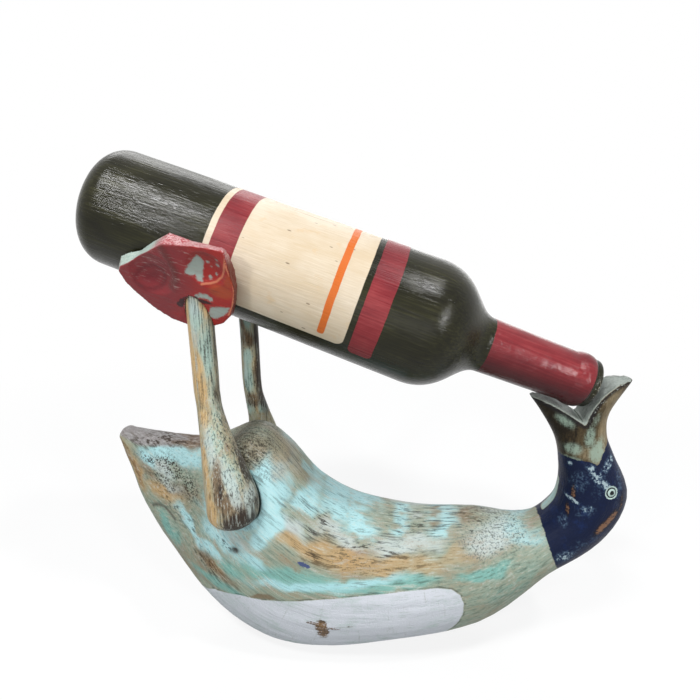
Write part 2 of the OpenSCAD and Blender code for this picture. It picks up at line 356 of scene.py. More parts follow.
class Lattice:
    """Smooth repeatable noise for shaping meshes."""

    SIZE = 24

    def __init__(self, seed: int) -> None:
        """Draws the lattice's values once."""
        self.values = np.random.default_rng(seed).random((self.SIZE,) * 3)

    def at(self, points: Array, cell: Sequence[float]) -> Array:
        """Reads the noise.

        Args:
            points: Places, one row each.
            cell: Size of a feature along each axis, in the points' own units.

        Returns:
            Values from -1 to 1.
        """
        spot = points / np.asarray(cell, float)
        low = np.floor(spot).astype(int)
        part = spot - low
        part = part * part * (3 - 2 * part)
        total = np.zeros(len(points))
        for corner in np.ndindex(2, 2, 2):
            weight = np.ones(len(points))
            for axis, high in enumerate(corner):
                weight = weight * (part[:, axis] if high else 1 - part[:, axis])
            index = (low + corner) % self.SIZE
            total += weight * self.values[index[:, 0], index[:, 1], index[:, 2]]
        return total * 2 - 1


@dataclass(frozen=True)
class Dab:
    """A soft oval touch of the brush, seen from the side.

    Attributes:
        x: Its middle along X.
        z: Its height.
        long: Half its length.
        wide: Half its width.
        turn: Its slope in degrees, up towards the bill.
        full: How strong it is in the middle.
    """

    x: float
    z: float
    long: float
    wide: float
    turn: float = 0.0
    full: float = 1.0

    def cover(self, x: Array, z: Array) -> Array:
        """Finds how much of the dab lies on each point.

        Args:
            x: The points' first coordinate.
            z: Their second.

        Returns:
            The cover of each point.
        """
        cos, sin = math.cos(math.radians(self.turn)), math.sin(math.radians(self.turn))
        run = ((x - self.x) * cos + (z - self.z) * sin) / self.long
        rise = ((z - self.z) * cos - (x - self.x) * sin) / self.wide
        return self.full / (1 + (run * run + rise * rise) ** 2)


def dabs(*rows: Sequence[float]) -> tuple[Dab, ...]:
    """Dabs from rows of x, z, long, wide, turn and full."""
    return tuple(Dab(*row) for row in rows)


def touches(brushed: Sequence[Dab], x: Array, z: Array) -> Array:
    """The strongest of several dabs at each point."""
    return np.max([dab.cover(x, z) for dab in brushed], axis=0)


def climb(values: Array, low: float, high: float) -> Array:
    """Rises evenly from 0 at low to 1 at high, or falls where low is the larger."""
    return np.clip((values - low) / (high - low), 0, 1)


def hump(distance: Array, width: float) -> Array:
    """One at no distance, falling away over a width."""
    return np.exp(-(distance / width) ** 2)


def inside(outline: Line, x: Array, z: Array) -> Array:
    """Distance into a closed outline, negative outside it.

    Args:
        outline: Its corners, in order.
        x: The points' first coordinate.
        z: Their second.

    Returns:
        The distance of each point.
    """
    ring = np.array((*outline, outline[0]), float)
    within = np.zeros(len(x), bool)
    for a, b in zip(ring[:-1], ring[1:]):
        if a[1] != b[1]:
            crosses = (a[1] > z) != (b[1] > z)
            within ^= crosses & (x < a[0] + (z - a[1]) / (b[1] - a[1]) * (b[0] - a[0]))
    away = apart(np.stack([x, z], 1), ring)
    return np.where(within, away, -away)


def bend(start: Sequence[float], control: Sequence[float], end: Sequence[float],
         count: int) -> Array:
    """Draws a quadratic curve.

    Args:
        start: Where it starts.
        control: What it bends towards.
        end: Where it ends.
        count: Number of points.

    Returns:
        The points.
    """
    share = np.linspace(0, 1, count)[:, None]
    a, b, c = (np.array(point, float) for point in (start, control, end))
    return (1 - share) ** 2 * a + 2 * share * (1 - share) * b + share ** 2 * c


def apart(points: Array, line: Union[Array, Line]) -> Array:
    """Distance from each flat point to a line of short stretches.

    Args:
        points: The points, one row each.
        line: The ends of the stretches, in order.

    Returns:
        The distance of each point.
    """
    nearest = np.full(len(points), np.inf)
    knots = np.array(line, float)
    for a, b in zip(knots[:-1], knots[1:]):
        way = b - a
        share = np.clip((points - a) @ way / (way @ way), 0, 1)[:, None]
        nearest = np.minimum(nearest, np.linalg.norm(points - a - share * way, axis=1))
    return nearest


def corners(node: str) -> tuple[Array, Array]:
    """The lowest and highest corner of a CAD node's box, in millimetres."""
    low, high = (np.array(corner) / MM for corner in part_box(node))
    return low, high


class Skin:
    """A dense mesh grown from one CAD node, held as arrays while it is shaped."""

    def __init__(self, node: str, voxel: float) -> None:
        """Remeshes the node.

        Args:
            node: Name of the CAD node.
            voxel: Size of a face, in millimetres.
        """
        self.node = node
        rough = bpy.data.objects.new("rough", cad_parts[node].data.copy())
        bpy.context.scene.collection.objects.link(rough)
        weld = rough.modifiers.new("weld", "WELD")
        weld.merge_threshold = 0.01 * MM
        remesh = rough.modifiers.new("remesh", "REMESH")
        remesh.mode = "VOXEL"
        remesh.voxel_size = voxel * MM
        graph = bpy.context.evaluated_depsgraph_get()
        self.mesh = bpy.data.meshes.new_from_object(rough.evaluated_get(graph))
        bpy.data.objects.remove(rough)
        count = len(self.mesh.vertices)
        self.points = self._read(self.mesh.vertices, "co", count * 3, float).reshape(-1, 3) / MM
        ends = self._read(self.mesh.edges, "vertices", len(self.mesh.edges) * 2, int)
        self.ends = ends.reshape(-1, 2)
        self.shares = np.bincount(ends, minlength=count)

    @staticmethod
    def _read(rows: bpy.types.bpy_prop_collection, name: str, size: int, kind: type) -> Array:
        """Takes one property of a mesh's points or edges as a flat array.

        Args:
            rows: The points or edges.
            name: The property.
            size: How many numbers there are in all.
            kind: Type of the numbers.

        Returns:
            The numbers.
        """
        flat = np.zeros(size, kind)
        rows.foreach_get(name, flat)
        return flat

    def _mean(self, values: Array) -> Array:
        """Averages over each point's neighbours.

        Args:
            values: A row for each point.

        Returns:
            The mean of the neighbours' rows.
        """
        a, b = self.ends.T
        count = len(self.points)
        total = [np.bincount(a, column[b], count) + np.bincount(b, column[a], count)
                 for column in values.T]
        return np.stack(total, 1) / self.shares[:, None]

    def relax(self, rounds: int, free: Union[Array, float] = 1.0) -> None:
        """Smooths the skin without shrinking it.

        Args:
            rounds: How often.
            free: How freely each point moves, from 0 to 1.
        """
        loose = np.broadcast_to(np.asarray(free, float), (len(self.points),))[:, None]
        for _ in range(rounds):
            for pull in (0.5, -0.52):
                self.points += pull * loose * (self._mean(self.points) - self.points)

    def normals(self) -> Array:
        """Finds the outward direction at each point.

        Returns:
            The directions, one row each.
        """
        self.mesh.vertices.foreach_set("co", (self.points * MM).ravel())
        self.mesh.update()
        flat = self._read(self.mesh.vertex_normals, "vector", self.points.size, np.float32)
        return flat.reshape(-1, 3).astype(float)

    def push(self, amount: Array) -> None:
        """Moves each point outwards by its own amount, in millimetres."""
        self.points += self.normals() * amount[:, None]

    def gap_to(self, node: str, reach: float) -> Array:
        """Distance from each point to another CAD node, up to a limit.

        Args:
            node: Name of the other node.
            reach: The largest distance that matters, in millimetres.

        Returns:
            The distance, or the limit where it is larger.
        """
        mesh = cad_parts[node].data
        tree = BVHTree.FromPolygons([v.co for v in mesh.vertices],
                                    [p.vertices[:] for p in mesh.polygons])
        low, high = corners(node)
        near = np.all((self.points > low - reach) & (self.points < high + reach), axis=1)
        gap = np.full(len(self.points), reach)
        for index in np.flatnonzero(near):
            found = tree.find_nearest(Vector(self.points[index] * MM), reach * MM)
            if found[3] is not None:
                gap[index] = found[3] / MM
        return gap

    def build(self, name: str, material: bpy.types.Material, slot: str,
              layers: dict[str, Array]) -> bpy.types.Object:
        """Makes the piece that stands for the node, inside that node's own box.

        Args:
            name: The piece's name.
            material: Its finish.
            slot: The material slot in the record; not used.
            layers: Numbers or vectors to lay on the points, by name.

        Returns:
            The finished piece.
        """
        points = np.clip(self.points, *corners(self.node))
        self.mesh.vertices.foreach_set("co", (points * MM).ravel())
        return stand_in(name, self.mesh, self.node, material, layers)


def stand_in(name: str, mesh: bpy.types.Mesh, node: str, material: bpy.types.Material,
             layers: dict[str, Array]) -> bpy.types.Object:
    """Dresses a mesh and puts it into the scene in place of a CAD node.

    Args:
        name: The piece's name.
        mesh: Its mesh.
        node: The CAD node that it replaces.
        material: Its finish.
        layers: Numbers or vectors to lay on the points, by name.

    Returns:
        The piece.
    """
    for layer, values in layers.items():
        kind, key = ("FLOAT_VECTOR", "vector") if values.ndim == 2 else ("FLOAT", "value")
        laid = mesh.attributes.new(layer, kind, "POINT")
        laid.data.foreach_set(key, values.astype(np.float32).ravel())
    mesh.polygons.foreach_set("use_smooth", [True] * len(mesh.polygons))
    mesh.materials.clear()
    mesh.materials.append(material)
    mesh.update()
    piece = bpy.data.objects.new(name, mesh)
    bpy.context.scene.collection.objects.link(piece)
    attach(piece, "root")
    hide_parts(node)
    LOG.info("%s: %d faces stand for %s", name, len(mesh.polygons), node)
    return piece


@dataclass(frozen=True)
class WornPaint:
    """The finish of the duck's body: blue-green paint rubbed through to the wood.

    Attributes:
        aqua: Fresh blue-green paint.
        teal: The same paint, darker and greener, laid low on the flank as painted shade.
        sage: The same paint, thin and grey.
        chalk: Dry white brushed over it.
        dust: Pale hairs along the grain.
        tan: Bare wood.
        straw: Bare wood in full light.
        ochre: Bare wood, stained yellow.
        brown: Bare wood, stained dark.
        crack: Dark hairs along the grain.
        umber: Dirt in the hollows.
        speck: Dark specks on the neck's root.
        ink: The small dark blue dabs on the flank.
        mauve: Grey-brown rubbed wood on the top of the tail.
        white: The white patch under the duck.
        navy: The dark blue hood.
        slate: The grey inside of the bill.
    """

    aqua: Colour = paint(170, 213, 218)
    teal: Colour = paint(118, 172, 164)
    sage: Colour = paint(136, 156, 143)
    chalk: Colour = paint(196, 208, 208)
    dust: Colour = paint(214, 222, 216)
    tan: Colour = paint(166, 146, 118)
    straw: Colour = paint(190, 172, 140)
    ochre: Colour = paint(184, 148, 98)
    brown: Colour = paint(116, 90, 64)
    crack: Colour = paint(70, 68, 52)
    umber: Colour = paint(48, 38, 32)
    speck: Colour = paint(56, 62, 58)
    ink: Colour = paint(50, 66, 112)
    mauve: Colour = paint(146, 140, 142)
    white: Colour = paint(202, 205, 212)
    navy: Colour = paint(12, 22, 48)
    slate: Colour = paint(146, 154, 148)

    def material(self) -> bpy.types.Material:
        """Builds the finish.

        Returns:
            The material of the body.
        """
        shader = Shader.material("worn_blue_paint")
        layer, flow = shader.layer, shader.flow()
        drift = shader.swing(2.4, flow, (0.03, 0.07, 0.07))
        lines = shader.swing(3.0, flow, (0.024, 0.34, 0.34), 4, 0.62)
        hair = shader.swing(3.2, flow, (0.05, 0.8, 0.8), 3, 0.6)
        grit = shader.swing(2.8, shader.place(), (0.95, 0.95, 0.95), 3, 0.7)
        ragged = lines * 0.6 + hair * 0.4 + grit * 0.3
        wood = shader.ramp(drift * 0.3 + lines * 0.35 + hair * 0.3 + 0.5,
                           [(0.15, self.brown), (0.5, self.tan), (0.85, self.straw)])
        coats = Coats(shader, wood)
        coats.lay(self.sage, drift * 0.6 + ragged * 0.8 + 0.75, 0.0, 1.1, 0.9)
        for name, over, full in (("ochre", self.ochre, 0.74), ("brown", self.brown, 0.72),
                                 ("teal", self.teal, 0.85), ("chalk", self.chalk, 0.75),
                                 ("aqua", self.aqua, 0.9)):
            coats.lay(over, layer(name) * (ragged * 1.15 + 1.25), 0.1, 1.1, full)
        grey = Coats(shader, self.mauve)
        grey.lay(self.brown, lines * 0.8 + hair * 0.3 + layer("brown"), 0.0, 1.1, 0.8)
        coats.lay(grey.colour, layer("facet") + ragged * 0.7, -0.4, 1.1, 0.88)

        crack = (hair * 0.75 + lines * 0.4 + grit * 0.25).step(-0.05, 0.6)
        coats.cover(self.crack, crack * (layer("crazed") * 0.22 + 0.4))
        coats.lay(self.dust, grit * 0.25 - hair * 0.75 - lines * 0.35, 0.05, 0.6, 0.36)
        scored = (hair * 0.6 + lines * 0.8 + grit * 0.15).step(-0.02, 0.42)
        coats.cover(self.umber, (layer("streak") * scored * 1.3).under(0.85))
        pits = (grit * 0.9 + hair * 0.35).step(-0.1, 0.3)
        coats.cover(self.umber, (layer("char") * pits * 1.35).under(0.9))
        specks = grit.step(0.08, 0.34)
        coats.cover(self.speck, (layer("dots") * specks * 1.2).under(0.75))
        coats.cover(self.umber, layer("dirt"))
        coats.lay(self.ink, layer("dab") + grit * 0.3, 0.5, 0.75, 0.9)
        for paint_on in (self._patch, self._bill, self._hood, self._eyes):
            paint_on(coats, (lines, hair, grit))

        height = lines * 0.3 + hair * 0.3 + grit * 0.25 - layer("dirt") * 0.5 - crack * 0.3
        rough = (grit * 0.1 + layer("gloss") * -0.1 + 0.52).over(0.2)
        return shader.finish(coats.colour, rough, height, 0.42, 0.12)

    def _patch(self, coats: Coats, grain: Grain) -> None:
        """Lays the white patch, with its rubbed places, upright cracks and bare spot.

        Args:
            coats: The body's coats so far.
            grain: The streaks, the hairs and the grit.
        """
        shader, flow = coats.shader, coats.shader.flow()
        lines, hair, grit = grain
        mottle = shader.swing(2.4, flow, (0.06, 0.09, 0.09), 4, 0.65)
        cracks = shader.swing(2.6, flow, (0.5, 0.06, 0.06), 3, 0.65)
        rust = Coats(shader, paint(124, 92, 52))
        rust.lay(self.umber, hair + grit * 0.8, -0.4, 0.4, 0.85)
        bare = shader.layer("bare") * (grit * 1.1 + hair * 0.9 + 1.0)
        white = Coats(shader, self.white)
        white.lay(paint(160, 180, 172), mottle + hair * 0.35 + grit * 0.3, -0.1, 0.8, 0.7)
        white.lay(paint(150, 158, 150), cracks + grit * 0.3, 0.25, 0.7, 0.45)
        white.lay(paint(128, 134, 124), lines * 0.5 + hair * 0.8, 0.3, 0.7, 0.3)
        white.lay(rust.colour, bare, 0.3, 0.75, 0.95)
        edge = shader.layer("patch") + grit * 0.35 + hair * 0.25
        rim = (1 - abs(edge + 0.6).step(0.0, 0.9)) * (lines + 0.2).step(0.0, 0.4)
        coats.cover(self.umber, rim * 0.6).lay(white.colour, edge, -0.2, 0.45)

    def _hood(self, coats: Coats, grain: Grain) -> None:
        """Lays the dark blue hood, with its chips and rubbed spots.

        Args:
            coats: The body's coats so far.
            grain: The streaks, the hairs and the grit.
        """
        shader, place = coats.shader, coats.shader.place()
        lines, _, grit = grain
        blotch = shader.swing(2.4, place, (0.13, 0.13, 0.13), 4, 0.65)
        fine = shader.swing(2.6, place, (0.45, 0.45, 0.45), 4, 0.7)
        scrape = shader.swing(3.0, place, (0.3, 0.5, 1.1), 3, 0.65)
        rub = shader.layer("rub") * (scrape * 0.9 + grit * 0.9 + 0.95)
        chips = shader.layer("chip") * (fine * 1.4 + grit * 0.7 + 0.55)
        blue = Coats(shader, self.navy)
        blue.lay(paint(26, 46, 92), blotch + grit * 0.3, 0.0, 0.9, 0.65)
        blue.lay(paint(12, 14, 24), -blotch, 0.2, 0.8, 0.5)
        blue.lay(paint(20, 16, 18), rub, 0.1, 0.4, 0.75)
        blue.lay(paint(136, 100, 76), rub, 0.35, 0.9, 0.8)
        blue.lay(paint(78, 100, 124), chips, 0.1, 0.5, 0.6)
        blue.lay(paint(164, 182, 188), chips, 0.42, 0.7, 0.85)
        coats.lay(blue.colour, shader.layer("hood") + grit * 0.8 + lines * 0.5, -0.2, 0.4)

    def _bill(self, coats: Coats, grain: Grain) -> None:
        """Lays the bill's brown outside, its green spots, its grey inside and its dark seams.

        Args:
            coats: The body's coats so far.
            grain: The streaks, the hairs and the grit.
        """
        shader, place = coats.shader, coats.shader.place()
        layer, grit = shader.layer, grain[-1]
        blotch = shader.swing(2.4, place, (0.14, 0.14, 0.07), 4, 0.65)
        streak = shader.swing(2.6, place, (0.7, 0.7, 0.1), 4, 0.65)
        tone = blotch * 0.2 + streak * 0.25 + grit * 0.12 + layer("warm") * 0.75 + 0.05
        wood = shader.ramp(tone, [(0.05, paint(30, 24, 16)), (0.35, paint(78, 66, 46)),
                                  (0.9, paint(160, 144, 114))])
        cut = layer("cut")
        seam = cut + grit * 0.45
        groove = seam.step(0.9, 1.2) - seam.step(1.8, 4.2)
        flecks = (grit * 1.2 + streak * 0.3).step(0.3, 0.5) * layer("fleck")
        flecks = flecks * (seam.step(1.0, 1.4) - seam.step(3.0, 4.5))
        brown = Coats(shader, wood)
        spots = layer("green") * (grit * 0.8 + blotch + streak * 0.6 + 1.05)
        brown.lay(paint(138, 156, 142), spots, 0.1, 0.95, 0.85)
        brown.cover(paint(26, 24, 26), groove * 0.9)
        brown.cover(paint(170, 176, 170), flecks * 0.85)
        brown.cover(paint(150, 156, 148), (1 - seam.step(0.7, 1.0)) * 0.85)
        grey = Coats(shader, self.slate)
        grey.lay(paint(58, 58, 54), blotch + grit * 0.4 + streak * 0.4, -0.3, 0.9, 0.75)
        coats.cover(brown.colour, layer("bill"))
        coats.cover(grey.colour, (1 - cut.step(0.35, 0.6)) * layer("bill"))

    def _eyes(self, coats: Coats, grain: Grain) -> None:
        """Paints the rings of the eyes by the distance from their middles, with a painted glint in
        each pupil.

        Args:
            coats: The body's coats so far.
            grain: The streaks, the hairs and the grit.
        """
        away, grit = coats.shader.layer("eye"), grain[-1]
        pale, black = paint(172, 192, 186), paint(26, 30, 32)
        coats.cover(pale, 1 - (away + grit * 0.5).step(3.9, 4.2))
        # The last, smallest pale dot in each pupil is a painted glint.
        for ring, low in ((black, 3.2), (pale, 2.45), (black, 1.45), (pale, 0.35)):
            coats.cover(ring, 1 - (away + grit * 0.12).step(low, low + 0.25))


@dataclass
class DuckBody:
    """The body, from the tail over the belly to the open bill.

    Attributes:
        voxel: Size of a face.
        spine: The line that the grain follows, in side view.
        corner: Corner of the open bill.
        carrier: Control point and tip of the half that carries the bottle, from that corner.
        stop: Control point and tip of the other half, from that corner.
        eye: Middle of the far eye.
        knot: Middle of the knot in the flank.
        arc: Start, control point and end of the carved arc on the flank.
        notch: The cut above the patch.
        bill_x: Everything in front of this and above the next is the bill.
        bill_z: Height where the bill starts.
        halo_z: Height where the fresh paint round the legs ends.
        facet_x: Where the tail's flat upper facet ends.
        facet: Places along X and heights of the facet's lower edge.
        tip_z: Height where the bare tip of the bill starts.
        head_x: Where the glossier paint of the head starts.
        throat_x: Everything in front of this is the outside of the bill, where flecks show.
        paints: Where each colour is brushed on, in side view.
        marks: Where the chips, rubbed and bare spots are.
        patch: Outline of the white patch.
        hood: Outline of the dark blue hood.
    """

    voxel: float = 1.0
    spine: Line = ((-134, 138), (-104, 115), (-78, 103), (-54, 80), (-27, 57), (0, 47), (47, 48),
                   (92, 57), (127, 74), (148, 92), (157, 116), (150, 140), (146, 152), (143, 184))
    corner: Span = (144.8, 161.6)
    carrier: Line = ((-19, 13), (-30, 13))
    stop: Line = ((3.5, 21), (26.5, 29.5))
    eye: Point = (163.0, 16.2, 122.2)
    knot: Span = (-52.6, 84.3)
    arc: Line = ((-114, 94), (-105, 101), (-96, 91))
    notch: Line = ((-92, 60), (-82, 54), (-70, 51))
    bill_x: float = 110.0
    bill_z: float = 136.0
    halo_z: float = 130.0
    facet_x: float = -72.0
    facet: Line = ((-137, -122, -82, -74), (136.8, 131.9, 132.6, 140))
    tip_z: float = 184.5
    head_x: float = 126.0
    throat_x: float = 146.0
    paints: dict[str, tuple[Dab, ...]] = field(default_factory=lambda: {
        "aqua": dabs(
            (-96, 128.5, 18, 4.4, 0, 1.25), (-70, 106, 3, 11, 12, 0.8), (-38, 123, 7, 10, -16, 1.3),
            (-34, 111, 8, 12, -30, 1.6), (-32, 100, 6, 9, -30, 1.3), (-38, 92, 6, 6, 0, 0.9),
            (-14, 107, 10, 3.6, -38, 0.95), (3, 98, 11, 3.6, -30, 0.95),
            (20, 91, 11, 3.2, -16, 0.95), (70, 88.5, 10, 2.4, 4, 0.8), (44, 88.6, 6, 1.8, 0, 0.7),
            (-84, 91, 15, 3, -48, 0.95), (-70, 82, 10, 3, -30, 0.85), (-42, 80, 12, 4, -30, 0.75),
            (-118, 125, 7, 4, -40, 0.8), (-60, 100, 20, 4, -20, 0.6), (-14, 64, 28, 3.4, -2, 0.95),
            (118, 88, 12, 5, 0, 0.55), (-58, 88, 16, 6, -30, 0.7), (-66, 92, 12, 5, -30, 0.7),
            (20, 66, 30, 2.6, 6, 0.7)),
        # These dabs sit low on the flank: darker, greener paint as painted shade.
        "teal": dabs(
            (-16, 68, 22, 6, -8, 1.1), (14, 64, 26, 4.2, 4), (46, 66, 20, 3.2, 10, 0.9),
            (94, 72.5, 16, 3, 10), (-38, 73, 14, 6, -25, 0.9), (-56, 72, 10, 5, -30, 0.8),
            (-100, 84, 12, 6, -55, 0.8), (-66, 58, 22, 4, -14, 0.8), (112, 62, 22, 8, 35, 0.4)),
        "chalk": dabs(
            (-108, 121, 12, 4.5, -22, 0.8), (-22, 100, 14, 3.4, -36, 0.8),
            (6, 89, 16, 3, -26, 0.75), (48, 83.5, 24, 3.4, 2, 0.75), (100, 86, 16, 5, 6, 0.8),
            (-34, 124, 9, 9, 0, 0.7), (-16, 124, 14, 4, -46, 0.6), (-56, 92, 14, 5, -20, 0.7),
            (-100, 112, 10, 3, -20, 0.55)),
        "ochre": dabs(
            (-19, 90, 13, 4.4, -30, 0.9), (-6, 84, 14, 5.4, -24, 0.9), (12, 78, 18, 6, -12, 0.9),
            (-24, 129, 18, 6, -44, 0.55), (-8, 112, 20, 4, -40, 0.45), (-132, 128, 5, 12, 20, 0.55),
            (36, 75, 20, 6, -2, 0.8), (58, 75, 16, 5, 6, 0.6), (-104, 107, 16, 4, -10, 0.8),
            (-125, 116, 15, 3.4, -64, 0.95), (-14, 119, 16, 3, -46, 0.45),
            (4, 106, 15, 2.6, -32, 0.5), (76, 79, 16, 2.4, 8, 0.5), (-66, 70, 9, 3.4, -42, 0.7)),
        "brown": dabs(
            (-70, 73, 9, 3.2, -44, 0.95), (-60, 64.5, 9, 3.4, -30, 0.8), (-48, 138, 15, 7, 0, 0.6),
            (-38, 56, 7, 1.6, -4, 1.1), (-20, 97, 5, 2, -36, 0.8), (-90, 134, 14, 3, 2),
            (-126, 118, 14, 1.8, -64, 0.8), (-133, 128, 3, 9, 24, 0.6), (-30, 132, 10, 3, -40, 0.3),
            (66, 92, 34, 1.8, 0, 0.7), (-92, 110, 10, 4, -20, 0.6), (108, 55, 24, 4, 34, 0.4),
            (-100, 74, 12, 3, -52, 0.5)),
        "streak": dabs(
            (-20, 125, 26, 4, -46, 0.22), (0, 80, 26, 5, -16, 0.4), (36, 76, 20, 4, 0, 0.4),
            (-70, 68, 14, 4, -40, 0.5), (-112, 134, 18, 3, 0, 0.6), (86, 90, 22, 3, 2, 0.5),
            (-96, 100, 16, 3, -40, 0.45), (-104, 134.5, 16, 2), (-9, 98, 15, 3.2, -38),
            (-12, 84, 13, 3.4, -26, 0.75), (26, 83, 22, 2.6, -6, 0.7), (-80, 88, 18, 3, -50, 0.45),
            (-57, 87, 7, 1.2, -26, 0.9), (64, 89, 30, 3, 2, 0.55), (-30, 93, 10, 3, -38, 0.5),
            (-46, 128, 6, 14, 20, 0.3)),
        "crazed": dabs(
            (60, 78, 60, 16, 4, 0.9), (110, 66, 30, 14, 30), (-20, 110, 30, 10, -40, 0.5),
            (-96, 110, 26, 14, -30, 0.6), (-90, 80, 24, 8, -50, 0.6)),
        "char": dabs(
            (-48, 138, 14, 8, 0, 0.6), (-112, 123.5, 10, 2.6, -8), (-97, 120, 12, 3.6, -18, 1.2),
            (-85, 114, 8, 5, -44, 1.15), (-104, 113, 14, 3, -14, 0.7), (-34, 129, 7, 4, -20, 0.25),
            (-70, 70, 10, 4, -40, 0.5)),
        "dots": dabs(
            (104, 87, 17, 6, 2), (92, 84, 10, 5, 0, 0.9), (20, 76, 16, 5, -12, 0.35),
            (-44, 138, 16, 8, 0, 0.4)),
        "dab": dabs((-12.6, 77.6, 3.4, 1.5, -22), (-9.8, 76.3, 2.2, 1.3, -10, 0.9)),
    })
    marks: dict[str, tuple[Dab, ...]] = field(default_factory=lambda: {
        "bare": dabs(
            (-6, 38.6, 5, 1.2, -4, 0.8), (-1.5, 36, 3.4, 4.4, 0, 1.5), (-0.5, 31, 3.0, 5, 0, 1.4),
            (6, 35, 5, 1, 0, 0.7), (16, 37.5, 3, 0.6, 0, 0.6)),
        "rub": dabs(
            (161.5, 101.5, 7, 2.2, 52, 1.1), (165.5, 106.5, 4, 2, 60), (170, 114, 1.6, 8, 0, 0.4),
            (143, 119, 1.0, 5, 0, 0.7), (141, 108, 0.9, 3.6, 0, 0.7)),
        "chip": dabs(
            (153, 131, 8, 1.7, -52, 1.1), (150.5, 136, 1.6, 2.4), (151, 111, 4, 3, 0, 0.6),
            (142.8, 114.6, 2.8, 0.8, -24, 2.4), (159.5, 138, 2.4, 10, -35, 0.8),
            (141, 80, 6, 3.4, 20, 0.85), (139, 101, 2.4, 4, 0, 0.5), (145, 127, 5, 8, 0, 0.42),
            (167, 126, 3, 12, 0, 0.4), (139.8, 136.6, 0.9, 1.3, 0, 1.2), (148, 109, 5, 5, 0, 0.36),
            (152, 90, 12, 4, 30, 0.34), (159.2, 126.8, 4.0, 1.3, -50, 2.1),
            (155, 122, 4, 6, 0, 0.34)),
        "green": dabs(
            (140.1, 146, 4.4, 3.2, 0, 0.8), (148.5, 154, 3, 6, 0, 0.85),
            (153, 146.5, 4, 7, -12, 0.9), (134, 163, 6, 3, -35, 0.7), (141, 139.6, 5, 1.8, 0, 0.6),
            (151, 164, 2.4, 5, -20, 0.5)),
        "warm": dabs(
            (157, 156, 6, 30, -8, 0.8), (150, 144, 10, 5, 0, 0.6), (144, 157, 3, 10, 0, 0.35),
            (160, 176, 8, 10, 0, 0.7)),
    })
    patch: Line = ((-86, 38), (-82, 44.5), (-68.6, 50.6), (-51, 53.4), (-37, 52.4), (-13.6, 54.6),
                   (10, 57.6), (45, 62.6), (66, 64.6), (75, 63.5), (80, 60), (82.6, 54), (82.6, 46),
                   (79.5, 36), (70, 18), (50, -20), (-60, -20), (-92, 20))
    hood: Line = ((127, 100), (128.6, 94), (131, 86.5), (134.2, 78), (138, 70), (148, 52),
                  (200, 60), (200, 165), (165, 158), (159, 148.6), (155.9, 143.8), (153.3, 138.6),
                  (149, 140), (144, 140), (138, 140.2), (132, 137.6), (118, 136))

    def _flow(self, points: Array) -> Array:
        """Follows the grain: along the spine, across the duck, and away from the spine.

        Args:
            points: The skin's points.

        Returns:
            The place of each point along those three ways.
        """
        knots = np.array(self.spine, float)
        reach = np.concatenate([[0], np.cumsum(np.linalg.norm(np.diff(knots, axis=0), axis=1))])
        along = np.linspace(0, reach[-1], 160)
        line = np.stack([np.interp(along, reach, knots[:, axis]) for axis in (0, 1)], 1)
        way = np.gradient(line, axis=0)
        way /= np.linalg.norm(way, axis=1)[:, None]
        off = points[:, None, ::2] - line[None]
        square = (off ** 2).sum(2)
        weight = np.exp(-(square - square.min(1)[:, None]) / 160)
        weight /= weight.sum(1)[:, None]
        ahead = (off * way[None]).sum(2)
        aside = off[:, :, 1] * way[None, :, 0] - off[:, :, 0] * way[None, :, 1]
        run = (weight * (along + ahead)).sum(1)
        return np.stack([run, points[:, 1], (weight * aside).sum(1)], 1)

    def _cut(self, points: Array) -> Array:
        """Distance from the two curved inner faces of the bill, in side view.

        Args:
            points: The skin's points.

        Returns:
            The distance of each point.
        """
        corner, side = np.array(self.corner), points[:, ::2]
        faces = [bend(corner, corner + control, corner + tip, 20)
                 for control, tip in (self.carrier, self.stop)]
        return np.min([apart(side, face) for face in faces], axis=0)

    def _carve(self, skin: Skin) -> dict[str, Array]:
        """Cuts the tool marks, the grooves, the knot and the eyes into the skin.

        Args:
            skin: The body's skin.

        Returns:
            The layers that follow from the cuts.
        """
        points = skin.points
        flow, side = self._flow(points), points[:, ::2]
        x, _, z = points.T
        bill = climb(z, self.bill_z, self.bill_z + 14) * (x > self.bill_x)
        marks = 0.34 * Lattice(3).at(flow, (34, 11, 11)) + 0.14 * Lattice(4).at(flow, (16, 4, 4))
        grain = 0.07 * Lattice(5).at(flow, (12, 1.7, 1.7))
        seat = np.minimum(skin.gap_to("near_leg", 9), skin.gap_to("far_leg", 9))
        knot = np.hypot(x - self.knot[0], (z - self.knot[1]) * 1.2)
        arc = apart(side, bend(*self.arc, 12))
        away = np.linalg.norm(np.abs(points) - np.array(self.eye), axis=1)
        deep = hump(seat, 3.0) * (z < self.bill_z) + 1.8 * hump(knot, 1.6) + 0.8 * hump(arc, 1.8)
        deep = deep + 0.8 * hump(apart(side, self.notch), 2.2)
        deep = deep + 0.45 * hump(away - 3.2, 0.7) - 0.35 * hump(away, 1.8)
        skin.push((marks + grain) * (1 - 0.6 * bill) - deep)
        dirt = 1.3 * hump(knot, 2.4) + 0.7 * hump(arc, 1.2) + 0.7 * hump(seat, 0.8)
        halo = hump(seat - 2.6, 2.6) * (z < self.halo_z)
        return {"flow": flow, "dirt": np.clip(dirt, 0, 0.88), "eye": away, "halo": halo}

    def _layers(self, points: Array, halo: Array) -> dict[str, Array]:
        """Where each colour lies.

        Args:
            points: The skin's points.
            halo: Nearness to the legs' seats.

        Returns:
            The layers by name.
        """
        warp = 2.6 * np.stack([Lattice(seed).at(points, (11, 11, 11)) for seed in (7, 8)])
        warp += 1.2 * np.stack([Lattice(seed).at(points, (4, 4, 4)) for seed in (9, 10)])
        x, y, z = points.T
        layers = {name: touches(brushed, x + warp[0], z + warp[1])
                  for name, brushed in self.paints.items()}
        layers |= {name: touches(brushed, x, z) for name, brushed in self.marks.items()}
